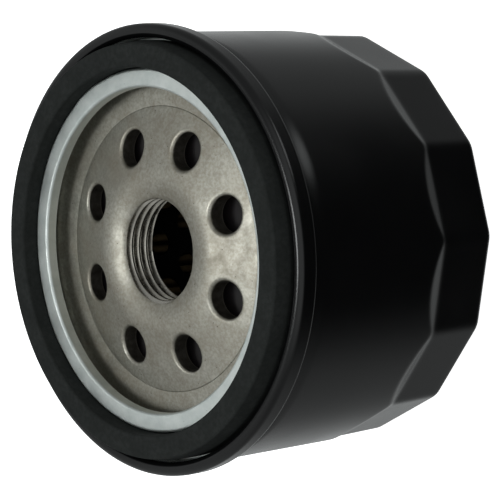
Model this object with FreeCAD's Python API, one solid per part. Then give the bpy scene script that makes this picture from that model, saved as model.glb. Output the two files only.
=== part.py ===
import FreeCAD, Part
import math
import os

# Spin-on oil filter for a small engine, in millimetres.
# The filter stands on its closed end: the origin is the centre of that end, +Z points to the gasket.
# Radii are named ..._radius, heights above the closed end ..._z, and gaps left between pieces ..._gap.

# ---- overall sizes ----------------------------------------------------------------------------
overall_height = 49.6          # closed end to the gasket's sealing face
can_radius = 36.7              # outside of the cylindrical wall
sheet = 0.45                   # steel of the can and the seaming lid
sheet_gap = 0.03               # between neighbouring layers of the double seam

# ---- canister ---------------------------------------------------------------------------------
flute_count = 14
flute_height = 12.2            # closed end to the top of the flats
flute_ridge_depth = 0.25       # ridges between flats lie this far inside the wall at their top
flute_draft = 0.23             # and this much further in at the closed end
flute_shoulder_angle = 19.0    # slope of the shoulder above each flat, from the axis
flute_corner_radius = 1.6      # rounding where the flats meet the closed end
base_panel_radius = 20.0       # recessed middle of the closed end
base_panel_recess = 1.0
base_panel_slope = 1.6         # radial width of the step up to the recessed panel
base_panel_bend = 0.6          # inside bend radius of that step
cutter_reach = 4.0             # how far each flat's cutter runs past the can

# ---- double seam ------------------------------------------------------------------------------
seam_drop = 2.2                # sealing face down to the top of the seam
seam_height = 4.0
seam_roof_bend = 0.75          # bend radius of the two top corners, on the sheet's middle
sealant_height = 0.35
hook_end_gap = 0.1             # each hook's end to the bend that it reaches into

# ---- sealing gasket ---------------------------------------------------------------------------
gasket_height = 6.3
gasket_width = 4.45            # inner to outer wall at the foot
gasket_taper = 0.5             # the outer wall leans in this much at the sealing face
gasket_taper_height = 2.9
gasket_edge = 0.4              # rounding of the free edges
gasket_gap = 0.45              # to the outer wall of its groove
gasket_lip_gap = 0.2           # to the inner wall of its groove

# ---- seaming lid's inner lip ------------------------------------------------------------------
lip_drop = 2.7                 # sealing face down to the top of the lip
lip_width = 3.15               # over the lip's two walls
lip_skirt = 2.0                # free inner skirt, below the top of the lip
lip_bend = 0.75
lid_floor_bend = 0.6
weld_gap = 0.2                 # left between the lid's floor and the plate by projection welds
weld_count = 8
weld_radius = 1.8

# ---- threaded plate ---------------------------------------------------------------------------
plate_thickness = 3.0
plate_gap = 0.4                # plate's edge to the can wall
plate_cone_angle = 12.2        # rise of the plate towards the middle
plate_step_inset = 3.2         # edge of the cone, inside the lip
plate_step = 0.1               # height of the small step there
hub_shoulder_width = 3.6       # crown of the plate, outward from the thread
hub_mouth_dip = 0.4            # thread's mouth below the crown's corner
hub_wall = 2.9
hub_length = 7.0               # thread's mouth to the hub's inner end
thread_major_diameter = 19.05  # 3/4 inch, 16 threads per inch, UNF
thread_pitch = 25.4 / 16
groove_overreach = 0.15        # the cut starts this far inside the bore
crown_rounding = 3.0
mouth_edge = 0.35              # roundings of the thread's mouth, the plate's rim and the hub's end
plate_upper_edge = 0.6
plate_lower_edge = 0.3
hub_root_rounding = 1.0
hub_end_edge = 0.5
hub_bore_edge = 0.3
inlet_count = 8
inlet_diameter = 6.3
inlet_first_angle = 19.4       # from the X axis, which runs through a flute ridge

# ---- anti-drain-back valve --------------------------------------------------------------------
valve_thickness = 1.1
valve_hub_gap = 0.15
valve_collar_height = 2.6
valve_bend = 0.9               # collar to flap, on the rubber's middle
valve_lip_overlap = 1.6        # flap beyond the inlet holes
valve_seat_gap = 0.05          # flap's edge to the plate
hub_to_element = 0.8           # hub's inner end to the element's top

# ---- filter element ---------------------------------------------------------------------------
element_gap = 3.6              # element to the flats of the can
cap_sheet = 0.35               # steel of the end caps, the tube and the valve's stampings
cap_rim_height = 4.0
cap_bend = 0.5
cap_hole_gap = 0.45            # upper cap's turned-down edge to the hub's valve collar
cap_hole_depth = 1.2           # length of that edge, from the cap's middle
potting_height = 1.5
potting_gap = 0.03
tube_land = 0.05               # tube's bore beyond the valve collar
media_thickness = 0.6
media_gap = 0.25               # pleats to the tube and to the cap rims
pleat_count = 44
fold_width = 0.7               # along each fold of the paper, on its middle
clip_depth = 3.0
clip_sheet = 0.3
clip_gap = 0.06
hole_diameter = 4.2            # perforations of the centre tube
holes_per_row = 10
row_pitch = 5.6
hole_margin = 0.3              # the end rows' edge to the adhesive
drill_overreach = 1.0

# ---- bypass valve -----------------------------------------------------------------------------
cup_tube_gap = 1.87            # outside of the valve's cup to the tube's bore
cup_depth = 2.7
cup_bend = 0.4
cup_rim_width = 1.1
cup_rim_bend = 0.3
bypass_fit_gap = 0.05
cage_foot_width = 1.9          # foot's edge to the middle of the cage wall
cage_foot_lift = 0.4           # foot above the cup's floor, clear of its bend
cage_foot_bend = 0.4
cage_roof_bend = 0.8
cage_height = 10.0
cage_leg_count = 3
cage_window_angle = 84.0
cage_window_drop = 0.3         # window's sill below the closed poppet
cage_window_margin = 2.4       # window's top above the lifted poppet
bypass_lift = 2.5              # travel of the poppet
poppet_cage_gap = 1.02
poppet_thickness = 1.0
poppet_edge = 0.2
seat_inset = 1.6               # poppet's edge to the middle of the seat's upturned lip
seat_lip_height = 1.5
seal_thickness = 1.0
seal_lap = 1.7                 # seal's bore to the middle of the seat's lip
seal_edge_inset = 0.1          # poppet's edge to the seal's edge
seal_boss_edge = 0.3
stem_radius = 1.5
stem_clearance = 0.08
stem_end_length = 1.0          # stem beyond the cage's roof
stem_end_edge = 0.4
spring_wire = 0.7
spring_inset = 2.9             # poppet's edge to the middle of the coil
spring_boss_height = 0.8
spring_boss_gap = 0.2
spring_turns = 4.5
spring_end_gap = 0.03

# ---- spring under the element -----------------------------------------------------------------
support_height = 7.4           # can floor to the underside of the element
support_sheet = 0.5
support_gap = 0.05
support_ring_inner = 12.2
support_ring_outer = 17.5
support_leg_count = 4
support_first_angle = 45.0
support_leg_width = 7.0
support_leg_reach = 10.0       # ring's edge to the foot's toe
support_foot = 3.2
support_root = 2.0             # leg's hold on the ring, from the ring's bore
support_knee = 0.5             # first bend, beyond the ring's edge
support_bend = 1.2

# ---- places worked out from the sizes above ---------------------------------------------------
can_bore_radius = can_radius - sheet
layer_pitch = sheet + sheet_gap
wall_middle_radius = can_radius - sheet / 2
chuck_middle_radius = wall_middle_radius - layer_pitch
seam_outer_radius = wall_middle_radius + 3 * layer_pitch + sheet / 2
seam_top_z = overall_height - seam_drop
seam_bottom_z = seam_top_z - seam_height
hook_top_z = seam_top_z - sheet - sealant_height
hook_centre_z = hook_top_z - sheet / 2 - layer_pitch
hem_centre_z = seam_bottom_z + sheet / 2 + layer_pitch
sealant_width = 4 * layer_pitch - 2 * seam_roof_bend

gasket_outer_radius = chuck_middle_radius - sheet / 2 - gasket_gap
gasket_inner_radius = gasket_outer_radius - gasket_width
gasket_foot_z = overall_height - gasket_height
lip_outer_radius = gasket_inner_radius - gasket_lip_gap
lip_inner_radius = lip_outer_radius - lip_width
lip_top_z = overall_height - lip_drop

plate_radius = can_bore_radius - plate_gap
plate_top_z = gasket_foot_z - sheet - weld_gap
plate_step_radius = lip_inner_radius - plate_step_inset
plate_slope = math.tan(math.radians(plate_cone_angle))
thread_height = math.sqrt(3) / 2 * thread_pitch
thread_major_radius = thread_major_diameter / 2
thread_minor_radius = thread_major_radius - 5 / 8 * thread_height
hub_radius = thread_minor_radius + hub_wall
crown_radius = thread_minor_radius + hub_shoulder_width
crown_z = plate_top_z + plate_step + (plate_step_radius - crown_radius) * plate_slope
mouth_z = crown_z - hub_mouth_dip
hub_end_z = mouth_z - hub_length
inlet_circle_radius = (crown_radius + plate_step_radius) / 2
inlet_outer_radius = inlet_circle_radius + inlet_diameter / 2

element_top_z = hub_end_z - hub_to_element
can_floor_z = sheet
element_bottom_z = can_floor_z + support_height
valve_inner_radius = hub_radius + valve_hub_gap
valve_outer_radius = inlet_outer_radius + valve_lip_overlap
tube_inner_radius = valve_inner_radius + valve_thickness + tube_land
tube_outer_radius = tube_inner_radius + cap_sheet
flat_radius_top = (can_radius - flute_ridge_depth) * math.cos(math.pi / flute_count)
flat_radius_base = flat_radius_top - flute_draft * math.cos(math.pi / flute_count)
element_radius = flat_radius_base - sheet - element_gap
cap_rim_inner_radius = element_radius - cap_sheet
media_inner_radius = tube_outer_radius + media_gap
media_outer_radius = cap_rim_inner_radius - media_gap
upper_cap_under_z = element_top_z - cap_sheet
lower_cap_upper_z = element_bottom_z + cap_sheet
media_bottom_z = lower_cap_upper_z + potting_height
media_top_z = upper_cap_under_z - potting_height

cup_radius = tube_inner_radius - cup_tube_gap
cage_foot_radius = cup_radius - cap_sheet - bypass_fit_gap
cage_radius = cage_foot_radius - cage_foot_width
poppet_radius = cage_radius - cap_sheet / 2 - poppet_cage_gap
seat_radius = poppet_radius - seat_inset
seal_inner_radius = seat_radius - seal_lap
spring_coil_radius = poppet_radius - spring_inset
cup_floor_z = element_bottom_z + cap_sheet / 2
cup_floor_top_z = cup_floor_z + cap_sheet
seat_top_z = cup_floor_top_z + seat_lip_height
seal_bottom_z = seat_top_z + bypass_fit_gap
poppet_bottom_z = seal_bottom_z + seal_thickness + bypass_fit_gap
poppet_top_z = poppet_bottom_z + poppet_thickness
cage_top_z = cup_floor_top_z + cage_height


# ---- shape helpers ----------------------------------------------------------------------------
def unit(a, b):
    """Direction from point a to point b, both (radius, z)."""
    length = math.hypot(b[0] - a[0], b[1] - a[1])
    return (b[0] - a[0]) / length, (b[1] - a[1]) / length


def rounded_face(corners):
    """Flat face in the XZ plane from (x, z, rounding) corners, each rounding a tangent arc."""
    edges = []
    joints = []
    count = len(corners)
    for index, (x, z, rounding) in enumerate(corners):
        before = unit(corners[index - 1], (x, z))
        after = unit((x, z), corners[(index + 1) % count])
        turn = math.acos(max(-1.0, min(1.0, before[0] * after[0] + before[1] * after[1])))
        if rounding <= 0 or turn < 1e-3:
            point = FreeCAD.Vector(x, 0, z)
            joints.append((point, None, point))
            continue
        back = rounding * math.tan(turn / 2)
        inward = unit((0, 0), (after[0] - before[0], after[1] - before[1]))
        sag = rounding / math.cos(turn / 2) - rounding
        start = FreeCAD.Vector(x - before[0] * back, 0, z - before[1] * back)
        middle = FreeCAD.Vector(x + inward[0] * sag, 0, z + inward[1] * sag)
        end = FreeCAD.Vector(x + after[0] * back, 0, z + after[1] * back)
        joints.append((start, middle, end))
    for index, (start, middle, end) in enumerate(joints):
        if middle is not None:
            edges.append(Part.Arc(start, middle, end).toShape())
        following = joints[(index + 1) % count][0]
        if end.distanceToPoint(following) > 1e-6:
            edges.append(Part.LineSegment(end, following).toShape())
    return Part.Face(Part.Wire(edges))


def strip_corners(path, thickness):
    """Corners of a bent strip whose middle follows (x, z, bend radius) points."""
    half = thickness / 2
    sides = []
    for side in (1, -1):
        line = []
        for index, (x, z, bend) in enumerate(path):
            before = unit(path[index - 1], path[index]) if index else None
            after = unit(path[index], path[index + 1]) if index + 1 < len(path) else None
            first = before or after
            second = after or before
            left = (-first[1] - second[1], first[0] + second[0])
            scale = side * half / (1 + first[0] * second[0] + first[1] * second[1])
            cross = first[0] * second[1] - first[1] * second[0]
            rounding = 0 if bend == 0 or cross == 0 else bend - side * half * math.copysign(1, cross)
            line.append((x + left[0] * scale, z + left[1] * scale, max(rounding, 0)))
        sides.append(line)
    return sides[0] + sides[1][::-1]


def turned(corners):
    """Solid of revolution about Z."""
    return rounded_face(corners).revolve(FreeCAD.Vector(), FreeCAD.Vector(0, 0, 1), 360)


def turned_strip(path, thickness):
    """Round stamping whose section is a bent strip."""
    return turned(strip_corners(path, thickness))


def ring(inner, outer, low, high):
    """Plain ring of rectangular section."""
    return turned([(inner, low, 0), (outer, low, 0), (outer, high, 0), (inner, high, 0)])


def around(shape, count, first=0.0):
    """Copies of a shape spaced evenly about Z, the first turned to the given angle."""
    copies = []
    for index in range(count):
        copy = shape.copy()
        copy.rotate(FreeCAD.Vector(), FreeCAD.Vector(0, 0, 1), first + index * 360 / count)
        copies.append(copy)
    return copies


def radial_drill(radius, reach, z):
    """Cylinder along +X for drilling a tube's wall."""
    return Part.makeCylinder(radius, reach, FreeCAD.Vector(0, 0, z), FreeCAD.Vector(1, 0, 0))


def helix_sweep(section, pitch, height, radius, z):
    """Solid swept along a right-hand helix that starts above the X axis at height z."""
    path = Part.makeHelix(pitch, height, radius)
    path.translate(FreeCAD.Vector(0, 0, z))
    return Part.Wire(path.Edges).makePipeShell([section], True, True)


# ---- casing -----------------------------------------------------------------------------------
def can_form(inset):
    """The can's outside, or with an inset of the sheet's thickness its inside."""
    radius = can_radius - inset
    panel_z = base_panel_recess + inset
    step_shift = inset * math.tan(math.atan(base_panel_recess / base_panel_slope) / 2)
    top_z = hook_centre_z
    body = turned([
        (0, panel_z, 0),
        (base_panel_radius + step_shift, panel_z, base_panel_bend + inset),
        (base_panel_radius + base_panel_slope + step_shift, inset, base_panel_bend + sheet - inset),
        (radius, inset, 0),
        (radius, top_z, 0),
        (0, top_z, 0),
    ])
    lean = math.tan(math.radians(flute_shoulder_angle))
    cutter_radius = can_radius + cutter_reach
    flat = rounded_face([
        (flat_radius_base - inset, -cutter_reach, 0),
        (cutter_radius, -cutter_reach, 0),
        (cutter_radius, flute_height + (cutter_radius - flat_radius_top) / lean, 0),
        (flat_radius_top - inset, flute_height, 0),
        (flat_radius_base - inset, 0, 0),
    ])
    flat.translate(FreeCAD.Vector(0, -can_radius, 0))
    cutter = flat.extrude(FreeCAD.Vector(0, 2 * can_radius, 0))
    half_pitch = 180 / flute_count
    body = body.cut(around(cutter, flute_count, half_pitch))
    low_edges = [e for e in body.Edges
                 if e.BoundBox.ZMax < inset + 1e-3 and e.BoundBox.XLength + e.BoundBox.YLength > 1
                 and e.CenterOfMass.Length > base_panel_radius + base_panel_slope + 1]
    return body.makeFillet(flute_corner_radius - inset, low_edges)


def canister():
    """Drawn can with a fluted closed end, its open edge hooked over for the double seam."""
    shell = can_form(0).cut(can_form(sheet))
    middle_z = hook_top_z - sheet / 2
    hook = turned_strip([
        (wall_middle_radius, hook_centre_z, 0),
        (wall_middle_radius, middle_z, layer_pitch),
        (wall_middle_radius + 2 * layer_pitch, middle_z, layer_pitch),
        (wall_middle_radius + 2 * layer_pitch, hem_centre_z + hook_end_gap, 0),
    ], sheet)
    return shell.fuse(hook).removeSplitter()


def seaming_lid():
    """Stamped ring that holds the gasket and joins the plate to the can."""
    lip_inner_middle = lip_inner_radius + sheet / 2
    lip_outer_middle = lip_outer_radius - sheet / 2
    lip_middle_z = lip_top_z - sheet / 2
    floor_middle_z = gasket_foot_z - sheet / 2
    roof_z = seam_top_z - sheet / 2
    hem_z = seam_bottom_z + sheet / 2
    outer = wall_middle_radius + 3 * layer_pitch
    return turned_strip([
        (lip_inner_middle, lip_top_z - lip_skirt, 0),
        (lip_inner_middle, lip_middle_z, lip_bend),
        (lip_outer_middle, lip_middle_z, lip_bend),
        (lip_outer_middle, floor_middle_z, lid_floor_bend),
        (chuck_middle_radius, floor_middle_z, lid_floor_bend),
        (chuck_middle_radius, roof_z, seam_roof_bend),
        (outer, roof_z, seam_roof_bend),
        (outer, hem_z, layer_pitch),
        (outer - 2 * layer_pitch, hem_z, layer_pitch),
        (outer - 2 * layer_pitch, hook_centre_z - hook_end_gap, 0),
    ], sheet)


def seam_sealant():
    """Ring of sealing compound between the can's hook and the lid."""
    middle = wall_middle_radius + layer_pitch
    return ring(middle - sealant_width / 2, middle + sealant_width / 2,
                hook_top_z + sheet_gap / 2, seam_top_z - sheet - sheet_gap / 2)


def sealing_gasket():
    """Square-cut rubber ring, its outer wall leaning in towards the sealing face."""
    return turned([
        (gasket_inner_radius, gasket_foot_z, gasket_edge),
        (gasket_outer_radius, gasket_foot_z, gasket_edge),
        (gasket_outer_radius, overall_height - gasket_taper_height, 0),
        (gasket_outer_radius - gasket_taper, overall_height, gasket_edge),
        (gasket_inner_radius, overall_height, gasket_edge),
    ])


# ---- threaded plate ---------------------------------------------------------------------------
def thread_turns():
    """The internal thread's helical groove, one solid for each turn, past both ends of the hub."""
    flank = math.tan(math.radians(30))
    root_half = thread_pitch / 16
    inner_radius = thread_minor_radius - groove_overreach
    mouth_half = root_half + (thread_major_radius - inner_radius) * flank
    start_z = hub_end_z - thread_pitch
    section = Part.makePolygon([
        FreeCAD.Vector(inner_radius, 0, start_z - mouth_half),
        FreeCAD.Vector(thread_major_radius, 0, start_z - root_half),
        FreeCAD.Vector(thread_major_radius, 0, start_z + root_half),
        FreeCAD.Vector(inner_radius, 0, start_z + mouth_half),
        FreeCAD.Vector(inner_radius, 0, start_z - mouth_half),
    ])
    turn = helix_sweep(section, thread_pitch, thread_pitch, thread_major_radius, start_z)
    turns = []
    for index in range(math.ceil(hub_length / thread_pitch) + 3):
        copy = turn.copy()
        copy.translate(FreeCAD.Vector(0, 0, index * thread_pitch))
        turns.append(copy)
    return turns


def threaded_plate():
    """Thick pressed plate: coned round a drawn and tapped hub, with a ring of inlet holes."""
    under_step_z = plate_top_z - plate_thickness
    crown_under_z = crown_z - plate_thickness
    under_hub_z = crown_under_z + (crown_radius - hub_radius) * plate_slope
    face = rounded_face([
        (thread_minor_radius, hub_end_z, hub_bore_edge),
        (hub_radius, hub_end_z, hub_end_edge),
        (hub_radius, under_hub_z, hub_root_rounding),
        (plate_step_radius, under_step_z, 0),
        (plate_radius, under_step_z, plate_lower_edge),
        (plate_radius, plate_top_z, plate_upper_edge),
        (plate_step_radius, plate_top_z, 0),
        (plate_step_radius - plate_step, plate_top_z + plate_step, 0),
        (crown_radius, crown_z, crown_rounding),
        (thread_minor_radius, mouth_z, mouth_edge),
    ])
    plate = face.revolve(FreeCAD.Vector(), FreeCAD.Vector(0, 0, 1), 360)
    drill = Part.makeCylinder(inlet_diameter / 2, 4 * plate_thickness,
                              FreeCAD.Vector(inlet_circle_radius, 0, plate_top_z - 2 * plate_thickness))
    plate = plate.cut(around(drill, inlet_count, inlet_first_angle))
    for turn in thread_turns():
        plate = plate.cut(turn)
    return in_quarters(plate)


def in_quarters(shape):
    """The same solid with its surfaces divided at four radial planes, so that no crest of its
    thread is one long face round the whole turn."""
    wedge = Part.makeCylinder(2 * can_radius, 2 * overall_height, FreeCAD.Vector(),
                              FreeCAD.Vector(0, 0, 1), 90)
    quarters = [shape.common(sector) for sector in around(wedge, 4)]
    return quarters[0].fuse(quarters[1:])


def weld_nuggets():
    """Projection welds between the lid's floor and the plate."""
    circle = (lip_outer_radius + plate_radius) / 2
    nugget = Part.makeCylinder(weld_radius, weld_gap, FreeCAD.Vector(circle, 0, plate_top_z))
    first = inlet_first_angle + 180 / weld_count
    return Part.makeCompound(around(nugget, weld_count, first))


def anti_drain_back_valve():
    """Rubber diaphragm: a collar round the hub and a flap that closes the inlet holes from behind."""
    half = valve_thickness / 2
    collar_middle = valve_inner_radius + half
    under_slope = (plate_step_radius - valve_outer_radius) * plate_slope
    lip_top = plate_top_z - plate_thickness + max(under_slope, 0) - valve_seat_gap
    return turned_strip([
        (collar_middle, element_top_z + valve_seat_gap, 0),
        (collar_middle, element_top_z + valve_collar_height, valve_bend),
        (valve_outer_radius, lip_top - half, 0),
    ], valve_thickness)


# ---- filter element ---------------------------------------------------------------------------
def upper_end_cap():
    """Steel cap over the element's top, with a round outlet edge turned down into the tube."""
    middle_z = element_top_z - cap_sheet / 2
    hole_middle = valve_inner_radius + cap_hole_gap + cap_sheet / 2
    rim_middle = element_radius - cap_sheet / 2
    return turned_strip([
        (hole_middle, middle_z - cap_hole_depth, 0),
        (hole_middle, middle_z, cap_bend),
        (rim_middle, middle_z, cap_bend),
        (rim_middle, element_top_z - cap_rim_height, 0),
    ], cap_sheet)


def lower_end_cap():
    """Steel cap under the element, with an upturned edge that holds the bypass valve's cup."""
    middle_z = element_bottom_z + cap_sheet / 2
    hole_middle = cup_radius + bypass_fit_gap + cap_sheet / 2
    rim_middle = element_radius - cap_sheet / 2
    return turned_strip([
        (hole_middle, cup_floor_z + cup_depth - cap_sheet - bypass_fit_gap, 0),
        (hole_middle, middle_z, cap_bend),
        (rim_middle, middle_z, cap_bend),
        (rim_middle, element_bottom_z + cap_rim_height, 0),
    ], cap_sheet)


def potting(cap_z, media_z):
    """Ring of adhesive that bonds the pleats and the tube to an end cap."""
    inward = math.copysign(potting_gap, media_z - cap_z)
    inner = tube_outer_radius + potting_gap
    outer = cap_rim_inner_radius - potting_gap
    return turned([
        (inner, cap_z + inward, 0),
        (outer, cap_z + inward, cap_bend),
        (outer, media_z - inward, 0),
        (inner, media_z - inward, 0),
    ])


def pleat_outline(offset):
    """Closed outline of the pleated paper, moved outward by the offset."""
    points = []
    half_in = (fold_width / 2) / media_inner_radius
    half_out = (fold_width / 2) / media_outer_radius
    inner = media_inner_radius + media_thickness / 2 + offset
    outer = media_outer_radius - media_thickness / 2 + offset
    for index in range(pleat_count):
        peak = 2 * math.pi * index / pleat_count
        valley = peak + math.pi / pleat_count
        for radius, angle in (
            (outer, peak - half_out - offset / outer),
            (outer, peak + half_out + offset / outer),
            (inner, valley - half_in + offset / inner),
            (inner, valley + half_in - offset / inner),
        ):
            points.append(FreeCAD.Vector(radius * math.cos(angle), radius * math.sin(angle), 0))
    return Part.makePolygon(points + points[:1])


def pleated_media():
    """Filter paper folded into a star, one continuous sheet."""
    half = media_thickness / 2
    outer = Part.Face(pleat_outline(half))
    inner = Part.Face(pleat_outline(-half))
    solid = outer.cut(inner).extrude(FreeCAD.Vector(0, 0, media_top_z - media_bottom_z))
    solid.translate(FreeCAD.Vector(0, 0, media_bottom_z))
    return solid


def media_seam_clip():
    """Folded steel strip that pinches the paper's two ends together along one pleat."""
    pleat_depth = media_outer_radius - media_inner_radius - media_thickness
    pleat_spread = math.pi * media_inner_radius / pleat_count - fold_width
    lean = pleat_spread / pleat_depth
    middle_half = (fold_width + media_thickness + clip_sheet) / 2 + lean * clip_depth + clip_gap
    back = media_outer_radius + clip_gap + clip_sheet / 2
    flat = rounded_face(strip_corners([
        (back - clip_depth, -middle_half, 0),
        (back, -middle_half, 0),
        (back, middle_half, 0),
        (back - clip_depth, middle_half, 0),
    ], clip_sheet))
    flat.rotate(FreeCAD.Vector(), FreeCAD.Vector(1, 0, 0), -90)
    low = element_bottom_z + cap_rim_height + media_gap
    high = element_top_z - cap_rim_height - media_gap
    flat.translate(FreeCAD.Vector(0, 0, low))
    return flat.extrude(FreeCAD.Vector(0, 0, high - low))


def centre_tube():
    """Perforated steel tube that carries the pleats and leads clean oil to the hub."""
    low = lower_cap_upper_z + potting_gap
    high = upper_cap_under_z - potting_gap
    tube = ring(tube_inner_radius, tube_outer_radius, low, high)
    margin = potting_height + hole_diameter / 2 + hole_margin
    rows = int((high - low - 2 * margin) / row_pitch) + 1
    drills = []
    for row in range(rows):
        drill = radial_drill(hole_diameter / 2, tube_outer_radius + drill_overreach,
                             high - margin - row * row_pitch)
        stagger = (row % 2) * 180 / holes_per_row
        drills += around(drill, holes_per_row, stagger)
    return tube.cut(drills)


# ---- bypass valve -----------------------------------------------------------------------------
def bypass_cup():
    """Stamped cup with the valve's seat, hung in the lower end cap."""
    half = cap_sheet / 2
    floor = cup_floor_z + half
    wall = cup_radius - half
    rim = cup_floor_z + cup_depth - half
    return turned_strip([
        (seat_radius, seat_top_z, 0),
        (seat_radius, floor, cup_bend),
        (wall, floor, cup_bend),
        (wall, rim, cup_rim_bend),
        (wall + cup_rim_width, rim, 0),
    ], cap_sheet)


def bypass_seal():
    """Rubber ring under the poppet."""
    return ring(seal_inner_radius, poppet_radius - seal_edge_inset,
                seal_bottom_z, seal_bottom_z + seal_thickness)


def bypass_poppet():
    """Moulded disc with a boss for its seal, a boss for its spring and a guide stem."""
    seal_boss = seal_inner_radius - bypass_fit_gap
    spring_boss = spring_coil_radius - spring_wire / 2 - spring_boss_gap
    boss_top_z = poppet_top_z + spring_boss_height
    stem_end_z = cage_top_z + stem_end_length
    return turned([
        (0, seal_bottom_z, 0),
        (seal_boss, seal_bottom_z, seal_boss_edge),
        (seal_boss, poppet_bottom_z, 0),
        (poppet_radius, poppet_bottom_z, poppet_edge),
        (poppet_radius, poppet_top_z, poppet_edge),
        (spring_boss, poppet_top_z, 0),
        (spring_boss, boss_top_z, poppet_edge),
        (stem_radius, boss_top_z, 0),
        (stem_radius, stem_end_z, stem_end_edge),
        (0, stem_end_z, 0),
    ])


def bypass_cage():
    """Stamped bell over the poppet that holds its spring and guides its stem."""
    half = cap_sheet / 2
    foot_z = cup_floor_top_z + half + cage_foot_lift
    bell = turned_strip([
        (cage_foot_radius, foot_z, 0),
        (cage_radius, foot_z, cage_foot_bend),
        (cage_radius, cage_top_z - half, cage_roof_bend),
        (stem_radius + stem_clearance, cage_top_z - half, 0),
    ], cap_sheet)
    sill = FreeCAD.Vector(0, 0, poppet_bottom_z - cage_window_drop)
    window_height = poppet_top_z + bypass_lift + cage_window_margin - sill.z
    window = Part.makeCylinder(cage_foot_radius, window_height, sill,
                               FreeCAD.Vector(0, 0, 1), cage_window_angle)
    core = Part.makeCylinder(poppet_radius, window_height, sill)
    return bell.cut(around(window.cut(core), cage_leg_count))


def bypass_spring():
    """Compression spring between the cage's roof and the poppet."""
    low = poppet_top_z + spring_wire / 2 + spring_end_gap
    high = cage_top_z - cap_sheet - spring_wire / 2 - spring_end_gap
    circle = Part.makeCircle(spring_wire / 2, FreeCAD.Vector(spring_coil_radius, 0, low),
                             FreeCAD.Vector(0, 1, 0))
    section = Part.Wire([circle])
    return helix_sweep(section, (high - low) / spring_turns, high - low, spring_coil_radius, low)


# ---- spring under the element -----------------------------------------------------------------
def element_support_spring():
    """Stamped leaf spring that holds the element up against the anti-drain-back valve."""
    ring_middle_z = element_bottom_z - support_gap - support_sheet / 2
    foot_middle_z = can_floor_z + support_gap + support_sheet / 2
    toe = support_ring_outer + support_leg_reach
    plate = ring(support_ring_inner, support_ring_outer,
                 ring_middle_z - support_sheet / 2, ring_middle_z + support_sheet / 2)
    leg = rounded_face(strip_corners([
        (support_ring_inner + support_root, ring_middle_z, 0),
        (support_ring_outer + support_knee, ring_middle_z, support_bend),
        (toe - support_foot, foot_middle_z, support_bend),
        (toe, foot_middle_z, 0),
    ], support_sheet))
    leg.translate(FreeCAD.Vector(0, -support_leg_width / 2, 0))
    leg = leg.extrude(FreeCAD.Vector(0, support_leg_width, 0))
    legs = around(leg, support_leg_count, support_first_angle)
    return plate.fuse(legs).removeSplitter()


# ---- every piece, in its own file -------------------------------------------------------------
PIECES = {
    "canister": canister,
    "seaming_lid": seaming_lid,
    "seam_sealant": seam_sealant,
    "sealing_gasket": sealing_gasket,
    "threaded_plate": threaded_plate,
    "weld_nuggets": weld_nuggets,
    "anti_drain_back_valve": anti_drain_back_valve,
    "upper_end_cap": upper_end_cap,
    "upper_potting": lambda: potting(upper_cap_under_z, media_top_z),
    "pleated_media": pleated_media,
    "media_seam_clip": media_seam_clip,
    "centre_tube": centre_tube,
    "lower_potting": lambda: potting(lower_cap_upper_z, media_bottom_z),
    "lower_end_cap": lower_end_cap,
    "bypass_cup": bypass_cup,
    "bypass_seal": bypass_seal,
    "bypass_poppet": bypass_poppet,
    "bypass_spring": bypass_spring,
    "bypass_cage": bypass_cage,
    "element_support_spring": element_support_spring,
}

os.makedirs("parts", exist_ok=True)
for name, build in PIECES.items():
    shape = build()
    if not shape.isValid():
        raise ValueError(f"{name} isn't a valid shape")
    shape.exportStep(f"parts/{name}.step")
    print(f"{name}: {len(shape.Solids)} solid(s), {shape.Volume:.1f} mm3")
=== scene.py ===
"""Looks of a spin-on oil filter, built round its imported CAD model.

Every size in this file is in millimetres and every place is in the model's own frame: the filter
stands on its closed end at z = 0 and +Z runs along its axis to the gasket. Meshes are turned into
metres once, where they are made.
"""

import logging
import math
from collections.abc import Callable, Sequence
from dataclasses import dataclass, field
from enum import Enum

import bmesh
import bpy
from mathutils import Matrix, Vector

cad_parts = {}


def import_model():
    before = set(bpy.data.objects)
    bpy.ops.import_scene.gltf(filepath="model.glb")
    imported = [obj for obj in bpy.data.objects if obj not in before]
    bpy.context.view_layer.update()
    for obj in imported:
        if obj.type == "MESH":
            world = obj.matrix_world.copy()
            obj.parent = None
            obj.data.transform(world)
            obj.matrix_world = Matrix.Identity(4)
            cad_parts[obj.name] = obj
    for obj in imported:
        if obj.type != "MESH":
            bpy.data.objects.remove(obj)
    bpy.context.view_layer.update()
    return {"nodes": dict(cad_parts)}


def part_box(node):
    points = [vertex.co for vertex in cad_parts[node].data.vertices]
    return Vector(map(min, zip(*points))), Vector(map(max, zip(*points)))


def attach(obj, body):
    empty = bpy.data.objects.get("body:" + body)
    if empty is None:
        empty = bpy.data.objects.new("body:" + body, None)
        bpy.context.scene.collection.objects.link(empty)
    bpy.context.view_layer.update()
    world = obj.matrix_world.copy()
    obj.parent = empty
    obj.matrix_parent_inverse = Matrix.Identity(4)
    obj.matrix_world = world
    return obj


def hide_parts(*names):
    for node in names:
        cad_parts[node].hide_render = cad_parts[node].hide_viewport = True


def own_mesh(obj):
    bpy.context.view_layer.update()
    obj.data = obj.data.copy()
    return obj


MM = 0.001
NUDGE = 0.05                   # keeps a test of place clear of the face it looks for
MERGE = 1e-4                   # points closer than this become one
ARC_STEP = 11.0                # largest turn between two points of an arc, in degrees
BRACE = 0.07                   # end of a straight to the point that keeps its shading flat
LONG_STRAIGHT = 5 * BRACE
LATHE_SHARP = 35.0             # edges that turn more than these degrees stay sharp
SHEET_SHARP = 50.0
PLATE_SHARP = 38.0
CLOUD_DETAIL = 4.0             # octaves of the noise that colours a surface
CLOUD_ROUGHNESS = 0.6
FINE_DETAIL = 3.0              # octaves of the noise that polishes and grains it
SWING_RANGE = (0.3, 0.7)       # values of that noise that stand for dull and shiny
METAL_FROM = 0.5               # a finish at least this metallic keeps the shader's default IOR
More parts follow.
